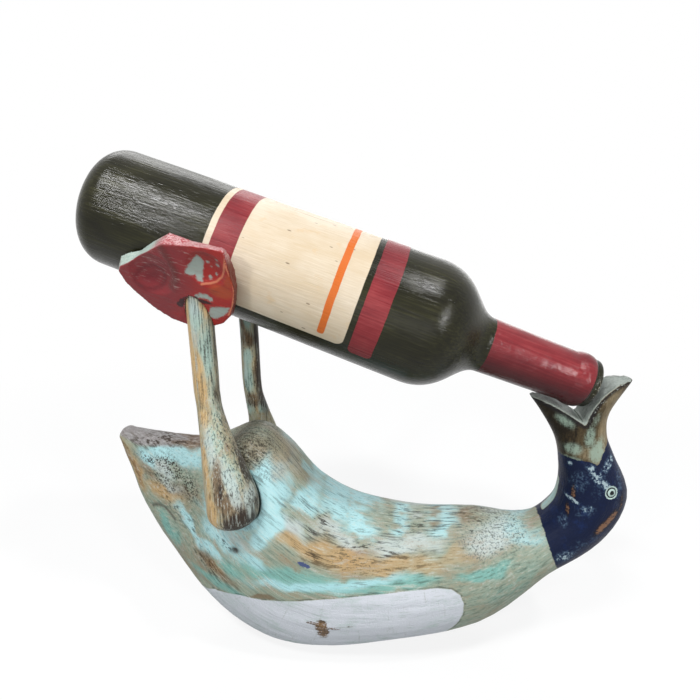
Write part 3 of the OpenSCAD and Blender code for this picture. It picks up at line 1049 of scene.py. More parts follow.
        # A blue-green stripe runs through the hood, a little off the duck's middle.
        stripe = climb(y + (z - 112) / 15 + 0.5 * warp[0], -2.0, -0.4) * climb(y, 7.5, 6.5)
        stripe = stripe * climb(z, 97, 99) * climb(z, 123, 119) * (x < 143)
        layers["aqua"] = np.max([layers["aqua"], 1.15 * halo, 0.55 * stripe], axis=0)
        layers["hood"] = np.minimum(inside(self.hood, x, z), 2 - 5 * stripe)
        layers["patch"] = inside(self.patch, x, z)
        bare_tip = np.clip(z - self.tip_z, 0, 4) * (x > self.throat_x)
        layers["cut"] = self._cut(points) - 1.5 * bare_tip
        layers["bill"] = climb(z, self.bill_z + 1, self.bill_z + 3) * (x > self.bill_x)
        layers["gloss"] = climb(x, self.head_x, self.head_x + 6)
        layers["fleck"] = climb(x, self.throat_x, self.throat_x + 4)
        facet = np.clip((z - np.interp(x, *self.facet)) / 1.4, -1, 1.4)
        layers["facet"] = np.where(x < self.facet_x, facet, -3.0)
        return layers

    def build(self, finish: WornPaint) -> bpy.types.Object:
        """Makes the body.

        Args:
            finish: Its paint.

        Returns:
            The piece.
        """
        skin = Skin("body", self.voxel)
        edge = climb(self._cut(skin.points), 3, 2) * (skin.points[:, 2] > 150)
        skin.relax(14, 1 - 0.9 * edge)
        layers = self._carve(skin)
        layers |= self._layers(skin.points, layers.pop("halo"))
        return skin.build("duck_body", finish.material(), "body_wood", layers)


@dataclass(frozen=True)
class RubbedStain:
    """The finish of the legs: thin blue-green over tan wood, dark at the thigh's end.

    Attributes:
        tan: Bare wood.
        ochre: Bare wood in full light.
        brown: Stained wood.
        umber: Darkest stain.
        aqua: Thin paint.
        sage: Paint rubbed to a film.
        chalk: Pale rubbed paint.
        crack: Dark hairs along the grain.
        dust: Pale hairs along the grain.
    """

    tan: Colour = paint(176, 154, 120)
    ochre: Colour = paint(206, 168, 114)
    brown: Colour = paint(98, 74, 54)
    umber: Colour = paint(42, 32, 30)
    aqua: Colour = paint(166, 196, 188)
    sage: Colour = paint(160, 170, 148)
    chalk: Colour = paint(180, 196, 194)
    crack: Colour = paint(56, 50, 40)
    dust: Colour = paint(200, 210, 202)

    def material(self) -> bpy.types.Material:
        """Builds the finish.

        Returns:
            The material of the legs.
        """
        shader = Shader.material("rubbed_leg_stain")
        layer, flow = shader.layer, shader.flow()
        drift = shader.swing(2.4, flow, (0.1, 0.1, 0.03))
        lines = shader.swing(3.2, flow, (0.42, 0.42, 0.022), 4, 0.66)
        hair = shader.swing(3.2, flow, (1.1, 1.1, 0.07), 3, 0.66)
        grit = shader.swing(2.6, flow, (1.0, 1.0, 0.8), 3, 0.7)
        ragged = lines * 0.7 + hair * 0.45 + grit * 0.3
        wood = shader.ramp(lines * 0.4 + drift * 0.3 + hair * 0.3 + 0.5,
                           [(0.15, self.brown), (0.45, self.tan), (0.9, self.ochre)])
        coats = Coats(shader, wood)
        coats.lay(self.sage, ragged * 0.9 + drift * 0.5 + 0.6, 0.0, 1.1, 0.85)
        for name, over, full in (("ochre", self.ochre, 0.8), ("aqua", self.aqua, 0.85),
                                 ("chalk", self.chalk, 0.82), ("brown", self.brown, 0.8),
                                 ("dark", self.umber, 0.92)):
            coats.lay(over, layer(name) * (ragged * 1.2 + 1.15), 0.15, 1.0, full)
        coats.lay(self.crack, hair * 0.8 + lines * 0.6 + grit * 0.3, -0.06, 0.55, 0.66)
        coats.lay(self.dust, grit * 0.3 - hair * 0.8 - lines * 0.3, 0.05, 0.5, 0.5)
        pits = (hair * 0.6 + grit * 0.8).step(0.05, 0.45)
        coats.cover(self.umber, (layer("pits") * pits).under(0.75))
        height = lines * 0.3 + hair * 0.35 + grit * 0.25
        return shader.finish(coats.colour, grit * 0.1 + 0.46, height, 0.32, 0.2)


@dataclass
class Leg:
    """One leg, from the foot down to the thigh's rounded end.

    Attributes:
        side: Which side of the duck it is on.
        voxel: Size of a face.
        heights: Heights along the near leg where its middle is known.
        middles: The middle of the leg at those heights, for each side.
        drop: How much lower the far thigh sits.
        paints: Where each colour lies, as place in front of the middle and height on the near leg.
    """

    side: Side
    voxel: float = 0.7
    heights: tuple[float, ...] = (96, 122, 150, 178, 240)
    middles: dict[Side, tuple[float, ...]] = field(default_factory=lambda: {
        Side.NEAR: (-51.9, -51.9, -59.0, -65.2, -65.6),
        Side.FAR: (-53.3, -53.3, -55.5, -57.6, -57.8),
    })
    drop: float = 13.0
    paints: dict[Side, dict[str, tuple[Dab, ...]]] = field(default_factory=lambda: {
        Side.NEAR: {
            "aqua": dabs(
                (0, 224, 4, 8, 0, 0.9), (3, 204, 3, 18, 0, 0.8), (4, 176, 3, 20, 0, 0.5),
                (2, 156, 4, 10, 10, 0.6), (6, 140, 4, 12, 14, 0.6), (-9, 104, 12, 2, 20, 0.8)),
            "chalk": dabs(
                (-1, 214, 2.6, 8, 0, 0.6), (0, 230, 3.4, 7, 0, 0.7), (-2, 152, 3.4, 11, 4, 0.85),
                (7, 131, 2.6, 12, 8, 1.1), (12.5, 120, 1.6, 10, 4), (3, 142, 3, 8, 10, 0.7),
                (12, 122, 2, 8, 8, 0.75)),
            "ochre": dabs(
                (-5, 205, 2.6, 28, 0, 1.1), (0, 190, 4, 18, 0, 0.9), (4.5, 228, 2.2, 5, 0, 1.2),
                (1, 214, 5, 14, 0, 0.5), (-8, 114, 3.4, 15, -4, 1.15), (-7, 142, 2.2, 16, 0, 0.8),
                (-3, 166, 3, 8, 0, 0.7)),
            "brown": dabs(
                (-0.5, 133, 3, 12, -8, 1.1), (5, 118, 8, 10, 0, 0.6), (6, 172, 1.4, 20, 0, 0.5),
                (-8, 190, 1.2, 30, 0, 0.5), (2, 124, 3, 8, -20, 0.9), (5, 106, 12, 3, 0, 0.8)),
            "dark": dabs(
                (7, 110, 7.5, 8, 0, 1.25), (12, 138, 1.6, 14, 12, 0.9), (15, 120, 1.2, 12, 6, 0.7),
                (0.5, 130, 1.6, 7, -10, 0.7), (6.8, 200, 1.2, 30, 0, 0.6),
                (4.5, 232, 2, 5, 0, 0.4)),
            "pits": dabs(
                (5, 192, 2.6, 30, 0, 0.8), (6, 158, 4, 14, 8, 0.8), (8, 128, 8, 16, 0, 0.6),
                (7, 112, 9, 10, 0, 0.8)),
        },
        Side.FAR: {
            "aqua": dabs(
                (1, 224, 2.4, 9, 0, 1.1), (-5, 218, 1.2, 20, 0, 0.7), (-0.5, 196, 2.6, 6, 0, 1.1),
                (-1, 182, 3, 10, 0, 1.15), (-3, 160, 3, 6, 0, 0.8), (5, 160, 3, 6, 20, 0.7)),
            "chalk": dabs((-2, 186, 1.2, 8, 0, 0.6)),
            "ochre": dabs(
                (1, 208, 3.4, 3.4, 0, 0.7), (2, 162, 1.2, 6, 0, 0.7), (3, 190, 1.4, 6, 0, 0.5)),
            "brown": dabs(
                (1, 208, 6, 5), (-2, 222, 1.2, 14, 0, 0.9), (0, 165, 5, 5),
                (4, 184, 1.4, 12, 0, 0.7)),
            "dark": dabs(
                (6, 196, 1.6, 40, 0, 1.2), (8, 158, 2, 14, 14, 1.2), (-3, 226, 1.2, 14, 0, 0.7)),
            "pits": dabs((0, 206, 6, 8), (0, 170, 6, 10, 0, 0.7), (3, 190, 3, 30, 0, 0.6)),
        },
    })

    def build(self, finish: bpy.types.Material) -> bpy.types.Object:
        """Makes the leg.

        Args:
            finish: Its stain.

        Returns:
            The piece.
        """
        node = f"{self.side.name.lower()}_leg"
        skin = Skin(node, self.voxel)
        skin.relax(8)
        points, seed = skin.points, 20 + self.side.value
        skin.push(0.26 * Lattice(seed).at(points, (7, 7, 24))
                  + 0.08 * Lattice(seed + 3).at(points, (1.8, 1.8, 14)))
        x, _, z = skin.points.T
        height = z if self.side is Side.NEAR else z + self.drop
        ahead = x - np.interp(height, self.heights, self.middles[self.side])
        wander = Lattice(seed + 6).at(points, (4, 4, 9))
        layers = {name: touches(brushed, ahead + wander, height + 2 * wander)
                  for name, brushed in self.paints[self.side].items()}
        layers["flow"] = skin.points
        return skin.build(f"duck_{node}", finish, "leg_wood", layers)


@dataclass(frozen=True)
class RedFootPaint:
    """The finish of the feet: dark red over pale ground, rubbed at the edges.

    Attributes:
        maroon: The paint at the back of the foot.
        scarlet: The paint at its front.
        rust: Orange-brown rubbed through at the toes.
        plum: Dark streaks.
        mint: The pale green ground.
        blush: Scuffed paint along the rim.
        scratch: Pale scratches.
        orange: The thin worn lines.
        soot: Dirt along the crack, and painted shadow round the hole where the leg goes in.
    """

    maroon: Colour = paint(130, 46, 50)
    scarlet: Colour = paint(158, 43, 39)
    rust: Colour = paint(168, 74, 44)
    plum: Colour = paint(70, 24, 30)
    mint: Colour = paint(158, 178, 170)
    blush: Colour = paint(206, 176, 176)
    scratch: Colour = paint(186, 150, 146)
    orange: Colour = paint(212, 138, 104)
    soot: Colour = paint(34, 22, 24)

    def material(self) -> bpy.types.Material:
        """Builds the finish.

        Returns:
            The material of the feet.
        """
        shader = Shader.material("red_foot_paint")
        layer, flow = shader.layer, shader.flow()
        drift = shader.swing(2.4, flow, (0.09, 0.09, 0.09))
        lines = shader.swing(2.4, flow, (0.12, 0.9, 0.9), 4, 0.65)
        grit = shader.swing(2.2, flow, (1.3, 1.3, 1.3), 3, 0.75)
        ragged = lines * 0.35 + grit * 0.45
        coats = Coats(shader, self.maroon)
        coats.lay(self.scarlet, layer("front") + drift * 0.4 + lines * 0.2, 0.1, 0.9)
        coats.lay(self.rust, layer("orange") + ragged * 0.6, 0.3, 0.9, 0.85)
        coats.lay(self.plum, lines + drift * 0.5, 0.1, 0.8, 0.5)
        coats.lay(paint(62, 40, 34), layer("ridge") * (ragged * 1.4 + 0.8), 0.1, 1.0, 0.62)
        scratch = (lines * 0.9 + grit * 0.3).step(0.1, 0.45)
        coats.cover(self.scratch, (layer("scuff") * scratch * 1.4).under(0.8))
        swirl = layer("swirl") + grit * 0.5
        curl = 1 - (abs(swirl) - lines * 0.8).step(0.0, 2.6)
        coats.cover(paint(76, 22, 30), curl * (grit * 0.5 + 0.55).step(0.0, 0.8) * 0.6)
        # The rear hollow's darker paint, deepened towards its middle as painted shade.
        coats.lay(paint(100, 28, 38), -swirl, 0.5, 5.0, 0.5)
        mint = layer("mint") + grit * 1.3 + lines * 0.7
        coats.cover(self.mint, mint.step(-0.7, 0.5) * (0.86 - scratch * 0.35))
        coats.cover(self._rim(shader, ragged, grit), layer("rim"))
        for name, width, full in (("arc", 0.5, 0.6), ("line", 0.4, 0.75)):
            near = (layer(name) + grit * 0.3).step(width * 0.5, width + 0.35)
            coats.cover(self.orange, (1 - near) * full)
        # Painted shadow: dark brown round the hole where the leg goes in, and dirt along the crack
        # beside it.
        coats.lay(self.soot, layer("soot") * (ragged * 1.4 + 1.0), 0.35, 0.75, 0.92)
        height = lines * 0.3 + grit * 0.3 + drift * 0.1 - mint.step(-0.25, 0.25) * 0.3
        return shader.finish(coats.colour, (grit * 0.14 + 0.36).over(0.2), height, 0.28, 0.22)

    def _rim(self, shader: Shader, ragged: Value, grit: Value) -> Tint:
        """Mixes the plate's rim: pale green behind, pink on top and dark red in front.

        Args:
            shader: The material in the making.
            ragged: How the paint breaks up.
            grit: The fine grain.

        Returns:
            The rim's colour.
        """
        top, rear, front = (Coats(shader, ground) for ground in (
            paint(156, 48, 56), self.mint, paint(112, 44, 36)))
        top.lay(self.blush, ragged + grit * 0.7 + 0.25, 0.0, 0.5, 0.9)
        rear.lay(paint(206, 214, 204), ragged + 0.2, 0.0, 0.6)
        front.lay(paint(170, 90, 66), ragged + 0.1, 0.1, 0.8, 0.6)
        top.cover(rear.colour, shader.layer("rear")).cover(front.colour, shader.layer("fore"))
        return top.colour


@dataclass
class Foot:
    """One webbed foot, as a leaning plate against the bottle.

    The outlines and lines are places on the plate: forwards from the leg's hole and up.

    Attributes:
        side: Which side of the duck it is on.
        bottle: The bottle that the foot leans against.
        lean: Lean of the plate from upright, in degrees.
        heel_back: Distance of the leg's hole from the bottle's base.
        far_shift: How much further forward the far foot stands.
        voxel: Size of a face.
        patch: Outline of the bare patch between the toes.
        heel: Outline of the bare patch at the heel.
        arc: Worn line under the front hollow.
        line: Worn line along the plate's front edge.
        swirl: Rim of the rear hollow.
        crack: Dirty crack beside the hole.
        ridge: The toe between the two hollows.
        chips: Place and radius of each small round chip.
        paints: Where the rust, the scuffs, and the dirt and painted shadow lie.
    """

    side: Side
    bottle: "Bottle"
    lean: float = 27.0
    heel_back: float = 82.1
    far_shift: float = 8.3
    voxel: float = 0.6
    patch: Line = ((-11, 14.1), (-9.5, 18), (-7.9, 21.8), (-6.2, 24.3), (-3.5, 21.2), (-3.4, 16),
                   (-2.6, 9.7), (-4.8, 9.5), (-6.4, 12), (-8.6, 11.5), (-11.6, 11.5))
    heel: Line = ((3, -5), (8.9, -2.0), (12.9, -0.6), (12.4, -4), (10.1, -7.6), (6.4, -11.6),
                  (2, -12))
    arc: Line = ((-2.5, 8.3), (1.9, 10.3), (4.8, 12.6), (7.4, 17.1), (8.3, 21.3), (8.2, 27.5),
                 (7.4, 32))
    line: Line = ((7.9, 29.8), (9.6, 23.5), (13.3, 16), (14.6, 9.3), (14.4, 1.2), (13, -6))
    swirl: Line = ((-38.4, -3.6), (-36.6, 0.4), (-33.2, 3.9), (-29.2, 6.2), (-25.6, 6),
                   (-23.4, 3.2), (-23.2, -1), (-25, -5), (-28.4, -8), (-32.4, -9.2), (-36, -8.2),
                   (-38.2, -6.2), (-38.4, -3.6))
    crack: Line = ((-13.5, -11), (-12, -7.8), (-9.5, -5.4), (-5, -3.2))
    ridge: Line = ((-24.2, 23.2), (-20.6, 17.8), (-16.9, 11.4), (-16.8, 4.9), (-18.3, -0.7))
    chips: Line = ((-1.3, 21.3, 0.7), (3.8, 25.8, 0.7), (4.1, 22.4, 0.9), (1, 13.2, 0.9),
                   (3.8, 16.4, 0.6), (0.6, 19, 0.2), (-4.4, -0.8, 1.2), (-2.4, 0.6, 1.5),
                   (0.2, 1.2, 1.6), (2.6, 0.6, 1.3))
    paints: dict[str, tuple[Dab, ...]] = field(default_factory=lambda: {
        "orange": dabs((8, 8, 7, 4.4, 10), (11, 16, 3, 6, 0, 0.8), (2, 17, 5, 6, 0, 0.35)),
        "scuff": dabs((-30, 12, 7, 3.4, 30), (-21, 14, 5, 8, 60, 0.8), (-38, -3, 5, 2, 30, 0.9),
                      (-29, 3, 8, 5, 20, 1.2), (-17, 6, 3, 9, 20, 0.8), (-9, 20, 4, 6, 0, 0.6),
                      (-12, 24, 6, 3, 0, 0.6)),
        # The dark dabs at the hole are painted shadow where the leg goes in.
        "soot": dabs((-2, -3.0, 5.5, 1.3, 6), (-9, -8, 2.2, 4, 20, 0.9)),
    })

    def _plate(self, points: Array) -> Array:
        """Places on the plate: forwards from the hole, up the foot, and out from the bottle.

        Args:
            points: The skin's points.

        Returns:
            The three places of each point.
        """
        start = self.heel_back + (self.far_shift if self.side is Side.FAR else 0.0)
        along, up = self.bottle.axes(points)
        out = points[:, 1] * self.side.value
        cos, sin = math.cos(math.radians(self.lean)), math.sin(math.radians(self.lean))
        depth = out * cos - up * sin
        return np.stack([along - start, up * cos + out * sin, depth - depth.min()], 1)

    def _outward(self) -> Array:
        """Finds the direction out of the plate's face.

        Returns:
            The direction.
        """
        lean, tilt = math.radians(self.lean), math.radians(self.bottle.tilt)
        down = -math.sin(lean)
        out = self.side.value * math.cos(lean)
        return np.array([down * math.sin(tilt), out, down * math.cos(tilt)])

    def _layers(self, plate: Array, swirl: Array, ridge: Array, face: Array) -> dict[str, Array]:
        """Where each colour lies.

        Args:
            plate: The places of the points on the plate.
            swirl: Distance from the rim of the rear hollow, negative inside.
            ridge: Distance from the toe between the hollows.
            face: One on the plate's outer face and zero round its rim.

        Returns:
            The layers by name.
        """
        run, rise, _ = plate.T
        flat, rim = plate[:, :2], 1 - face
        layers = {name: touches(brushed, run, rise) for name, brushed in self.paints.items()}
        dots = [radius - np.hypot(run - x, rise - y) for x, y, radius in self.chips]
        bare = [inside(outline, run, rise) for outline in (self.patch, self.heel)]
        crack = 1.1 * hump(apart(flat, self.crack), 2.2)
        return layers | {
            "flow": plate,
            "front": climb(run, -22, 4),
            "ridge": hump(ridge, 3.0) * face,
            "swirl": swirl * face + 9 * rim,
            "mint": np.max(bare + dots, axis=0) * face - 3 * rim,
            "rim": rim,
            "rear": climb(run, -26, -31),
            "fore": climb(run, 7.5, 9.5) * climb(rise, 31, 28),
            "arc": apart(flat, self.arc) + 4 * rim,
            "line": apart(flat, self.line) + 2 * rim,
            "soot": np.maximum(layers["soot"], crack) * face,
        }

    def build(self, finish: bpy.types.Material) -> bpy.types.Object:
        """Makes the foot.

        Args:
            finish: Its paint.

        Returns:
            The piece.
        """
        node = f"{self.side.name.lower()}_foot"
        skin = Skin(node, self.voxel)
        skin.relax(5)
        plate, seed = self._plate(skin.points), 30 + self.side.value
        run, rise, depth = plate.T
        flat = plate[:, :2]
        swirl = apart(flat, self.swirl) * np.sign(-inside(self.swirl[:-1], run, rise))
        ridge = apart(flat, self.ridge)
        deep = 0.9 * climb(swirl, -1, -8) + 0.3 * hump(swirl, 1.6) - 0.6 * hump(ridge, 2.6)
        deep = (deep - 0.4 * hump(apart(flat, self.arc), 1.2)) * climb(depth, 3, 5)
        skin.push(0.2 * Lattice(seed).at(plate, (9, 9, 9))
                  + 0.07 * Lattice(seed + 5).at(plate, (9, 1.6, 1.6)) - deep)
        face = climb(skin.normals() @ self._outward(), 0.35, 0.65)
        layers = self._layers(plate, swirl, ridge, face)
        return skin.build(f"duck_{node}", finish, "foot_wood", layers)


@dataclass(frozen=True)
class BottlePaint:
    """The finish of the bottle: glossy dark green, a cream label, red bands and a red capsule.

    Attributes:
        greens: The bottle's green, dark to light.
        creams: The label, dark to light.
        reds: The bands and the capsule, dark to light.
        orange: The label's stripe.
        nick: Small dark nicks in the label.
        rub: Rubbed places on the label.
        shade: Painted shade, a darker red laid over the capsule's underside.
        ivory: Bare wood round the mouth.
        label: Start and end of the label along the bottle.
        red_edge: Start and end of the red band on the label.
        stripe: Start and end of the orange stripe.
        band: Start and end of the plain red band.
        capsule: Start and end of the capsule.
        low_end: Angle below level where the label and bands end, in degrees.
    """

    greens: tuple[Colour, ...] = (paint(22, 21, 9), paint(34, 33, 16), paint(52, 51, 28))
    creams: tuple[Colour, ...] = (paint(200, 181, 153), paint(208, 193, 171), paint(217, 203, 183))
    reds: tuple[Colour, ...] = (paint(104, 30, 37), paint(126, 41, 46), paint(148, 62, 64))
    orange: Colour = paint(200, 102, 40)
    nick: Colour = paint(96, 74, 52)
    rub: Colour = paint(204, 176, 138)
    shade: Colour = paint(56, 12, 18)
    ivory: Colour = paint(206, 200, 180)
    label: Span = (71.9, 155.2)
    red_edge: Span = (75.2, 88.5)
    stripe: Span = (140.2, 144.2)
    band: Span = (158.4, 171.6)
    capsule: Span = (230.2, 289.4)
    low_end: float = 36.0

    @staticmethod
    def _round_box(along: Value, around: Value, span: Span, reach: float, corner: float) -> Value:
        """Fills a rounded box on the barrel.

        Args:
            along: Place along the bottle.
            around: Distance round the barrel from its top, without its sign.
            span: Start and end along the bottle.
            reach: Half the width round the barrel.
            corner: Radius of its corners.

        Returns:
            One inside the box, falling softly to zero over its edge.
        """
        middle, half = (span[0] + span[1]) / 2, (span[1] - span[0]) / 2
        run = (abs(along - middle) - (half - corner)).over(0.0)
        rise = (around - (reach - corner)).over(0.0)
        return (corner - (run * run + rise * rise) ** 0.5).step(-0.1, 0.25)

    def material(self, bottle: "Bottle") -> bpy.types.Material:
        """Builds the finish.

        Args:
            bottle: The bottle that carries it.

        Returns:
            The material of the bottle.
        """
        shader = Shader.material("bottle_paint")
        place, flow = shader.place().plus(-bottle.base()), shader.flow()
        along, up = (place.along(way) for way in bottle.directions())
        angle = abs(place.along((0, 1, 0)).angle_from(up))
        around = angle * bottle.shoulder_r
        brush = shader.noise(flow, (0.03, 0.9, 0.9), 3, 0.6)
        hair = shader.noise(flow, (0.09, 2.6, 2.6), 2)
        broad = shader.noise(flow, (0.04, 0.06, 0.06))
        grit = shader.noise(place, (0.9, 0.9, 0.9), 3, 0.7)
        wobble = shader.swing(2.4, place, (0.07, 0.07, 0.07), 2) + (grit - 0.5) * 0.5
        reach = bottle.shoulder_r * math.radians(90 + self.low_end)
        label, edge, stripe, band = (
            self._round_box(along + wobble * shake, around, span, reach + more, corner)
            for shake, span, more, corner in (
                (0.4, self.label, 0.0, 5.0), (0.35, self.red_edge, 4.0, 0.6),
                (0.5, self.stripe, -3.5, 1.6), (0.5, self.band, 2.5, 3.2)))
        start, end = self.capsule
        capsule = (along + wobble * 0.5).step(start, start + 0.4)
        capsule = capsule * (1 - (along + wobble * 0.25).step(end, end + 0.4))

        cream = Coats(shader, shader.ramp(broad * 0.6 + hair * 0.4,
                                          list(zip((0.38, 0.55, 0.66), self.creams))))
        cream.cover(self.nick, (1 - shader.flecks(flow, (0.07, 0.2, 0.2)).step(0.05, 0.1)) * 0.7)
        cream.lay(self.rub, shader.noise(place, (0.11, 0.11, 0.11)), 0.62, 0.72, 0.45)
        reds = shader.ramp(brush * 0.4 + broad * 0.6, list(zip((0.34, 0.52, 0.68), self.reds)))
        # Painted shade: the capsule's red darkens towards its underside, by the angle from its top.
        hood = Coats(shader, reds).lay(self.shade, angle, 1.0, 2.1, 0.85)
        coats = Coats(shader, shader.ramp(brush * 0.5 + broad * 0.5,
                                          list(zip((0.36, 0.52, 0.66), self.greens))))
        coats.cover(cream.colour, label).cover(reds, edge * label)
        coats.cover(self.orange, stripe).cover(reds, band).cover(hood.colour, capsule)
        worn = (grit * 0.6 + broad * 0.4 + along.step(end + 1.5, end + 9) * 0.14).step(0.57, 0.63)
        mouth = along.step(end + 1.0, end + 3.0) * (1 - along.step(end + 4.6, end + 4.95))
        coats.cover(self.ivory, worn * mouth)

        dents = shader.noise(flow, (0.16, 0.12, 0.12), 2)
        height = brush * 0.45 + hair * 0.12 + grit * 0.03 + dents * capsule * 0.9
        rough = 0.19 + (brush - 0.5) * 0.3 + label.over(band) * 0.12
        return shader.finish(coats.colour, rough, height, 0.5, 0.22)


@dataclass
class Bottle:
    """The wooden bottle, turned on its own axis and laid mouth down.

    Attributes:
        length: From the base to the lip.
        base_r: Radius at the base.
        shoulder_r: Radius at the shoulder.
        base_round: Rounding of the base's edge.
        barrel: Where the shoulder starts.
        shoulder: Length of the shoulder's curve.
        handles: Shares of that length at which the curve leaves the barrel and meets the neck.
        neck_root_r: Radius where the neck starts.
        neck_top_r: Radius below the bead.
        bead_r: Radius of the bead.
        bead: Length of the bead.
        lip_r: Radius of the lip.
        lip: Length of the lip.
        lip_round: Rounding of the lip's edge.
        tilt: Slope of the axis in degrees, mouth down.
        axis_h: Height of the axis over the origin.
        axis_back: Length of the axis from the base to the point over the origin.
        around: Number of faces round it.
        step: Largest length of a face along the outline.
    """

    length: float = 294.4
    base_r: float = 32.7
    shoulder_r: float = 36.6
    base_round: float = 12.5
    barrel: float = 191.6
    shoulder: float = 39.0
    handles: Span = (0.62, 0.68)
    neck_root_r: float = 16.2
    neck_top_r: float = 14.9
    bead_r: float = 16.0
    bead: float = 11.0
    lip_r: float = 14.0
    lip: float = 3.8
    lip_round: float = 2.0
    tilt: float = 19.5
    axis_h: float = 234.3
    axis_back: float = 137.3
    around: int = 200
    step: float = 1.3

    def directions(self) -> tuple[Point, Point]:
        """The directions ahead to the mouth and up out of the barrel."""
        cos, sin = math.cos(math.radians(self.tilt)), math.sin(math.radians(self.tilt))
        return (cos, 0.0, -sin), (sin, 0.0, cos)

    def base(self) -> Array:
        """The middle of the base."""
        return np.array([0, 0, self.axis_h]) - self.axis_back * np.array(self.directions()[0])

    def axes(self, points: Array) -> tuple[Array, Array]:
        """How far points lie along the bottle from its base, and up from its axis."""
        ahead, over = self.directions()
        return (points - self.base()) @ ahead, (points - self.base()) @ over

    def _outline(self) -> Array:
        """Draws half the outline, from the base's middle to the lip's middle.

        Returns:
            The place along the axis and the radius of each point.
        """
        turn = np.linspace(math.pi, math.pi / 2, 14)
        foot = np.stack([self.base_round * (1 + np.cos(turn)),
                         self.base_r - self.base_round * (1 - np.sin(turn))], 1)
        share = np.linspace(0, 1, 40)[:, None]
        leave, meet = self.handles
        knots = np.array([(self.barrel, self.shoulder_r),
                          (self.barrel + leave * self.shoulder, self.shoulder_r),
                          (self.barrel + meet * self.shoulder, self.neck_root_r),
                          (self.barrel + self.shoulder, self.neck_root_r)])
        weights = np.hstack([(1 - share) ** 3, 3 * share * (1 - share) ** 2,
                             3 * share ** 2 * (1 - share), share ** 3])
        swell = np.linspace(0, 5 / 6, 12)
        bead_end = self.length - self.lip
        bead = np.stack([bead_end - self.bead * (1 - swell),
                         self.neck_top_r + (self.bead_r - self.neck_top_r)
                         * np.sin(swell * math.pi)], 1)
        rim = [(bead_end - 0.4, self.neck_top_r - 0.2), (bead_end, self.neck_top_r - 1),
               (bead_end + 0.3, self.lip_r)]
        turn = np.linspace(math.pi / 2, 0, 8)
        lip = np.stack([self.length - self.lip_round * (1 - np.cos(turn)),
                        self.lip_r - self.lip_round * (1 - np.sin(turn))], 1)
        return np.concatenate([[(0, 0)], foot, weights @ knots, bead, rim, lip,
                               [(self.length, 0)]])

    def _rings(self) -> Array:
        """Adds points to the outline, so that no stretch is longer than a step.

        Returns:
            The place along the axis and the radius of each ring.
        """
        outline = self._outline()
        rows = [outline[:1]]
        for start, end in zip(outline[:-1], outline[1:]):
            count = max(1, math.ceil(np.linalg.norm(end - start) / self.step))
            rows.append(start + (end - start) * np.linspace(0, 1, count + 1)[1:, None])
        return np.concatenate(rows)[1:-1]

    def build(self, finish: BottlePaint) -> bpy.types.Object:
        """Makes the bottle.

        Args:
            finish: Its paint.

        Returns:
            The piece.
        """
        rings, count = self._rings(), self.around
        angle = np.tile(np.linspace(0, 2 * math.pi, count, endpoint=False), len(rings))
        along, radius = np.repeat(rings, count, axis=0).T
        flat = np.stack([along, radius * np.cos(angle), radius * np.sin(angle)], 1)
        hand = 0.16 * Lattice(41).at(flat, (46, 16, 16)) + 0.05 * Lattice(42).at(flat, (20, 5, 5))
        radius = radius - (hand + 0.2) * climb(radius, 0, 12) * (along < self.length - self.lip)
        ahead, over = (np.array(way) for way in self.directions())
        points = self.base() + along[:, None] * ahead + (radius * np.cos(angle))[:, None] * over
        points[:, 1] += radius * np.sin(angle)
        ends = np.stack([self.base(), self.base() + self.length * ahead])
        points = np.clip(np.concatenate([points, ends]), *corners("bottle"))
        last = (len(rings) - 1) * count
        pairs = [(k, (k + 1) % count) for k in range(count)]
        faces = [(ring + k, ring + count + k, ring + count + after, ring + after)
                 for ring in range(0, last, count) for k, after in pairs]
        faces += [(last + count, k, after) for k, after in pairs]
        faces += [(last + count + 1, last + after, last + k) for k, after in pairs]
        mesh = bpy.data.meshes.new("bottle")
        mesh.from_pydata((points * MM).tolist(), [], faces)
        flow = np.concatenate([flat, [(0, 0, 0), (self.length, 0, 0)]])
        return stand_in("wooden_bottle", mesh, "bottle", finish.material(self),
                        {"flow": flow})


@dataclass(frozen=True)
class Lamp:
    """A soft box.

    Attributes:
        name: The lamp's name.
        place: Where it hangs, in metres.
        target: What it points at, in metres.
        size: Its width and height, in metres.
        power: Its power in watts.
    """

    name: str
    place: Point
    target: Point
    size: Span
    power: float

    def hang(self) -> None:
        """Adds the lamp to the scene."""
        data = bpy.data.lights.new(self.name, "AREA")
        data.shape = "RECTANGLE"
        data.size, data.size_y = self.size
        data.energy = self.power
        lamp = bpy.data.objects.new(self.name, data)
        bpy.context.scene.collection.objects.link(lamp)
        turn = (Vector(self.target) - Vector(self.place)).to_track_quat("-Z", "Y")
        lamp.matrix_world = Matrix.Translation(self.place) @ turn.to_matrix().to_4x4()


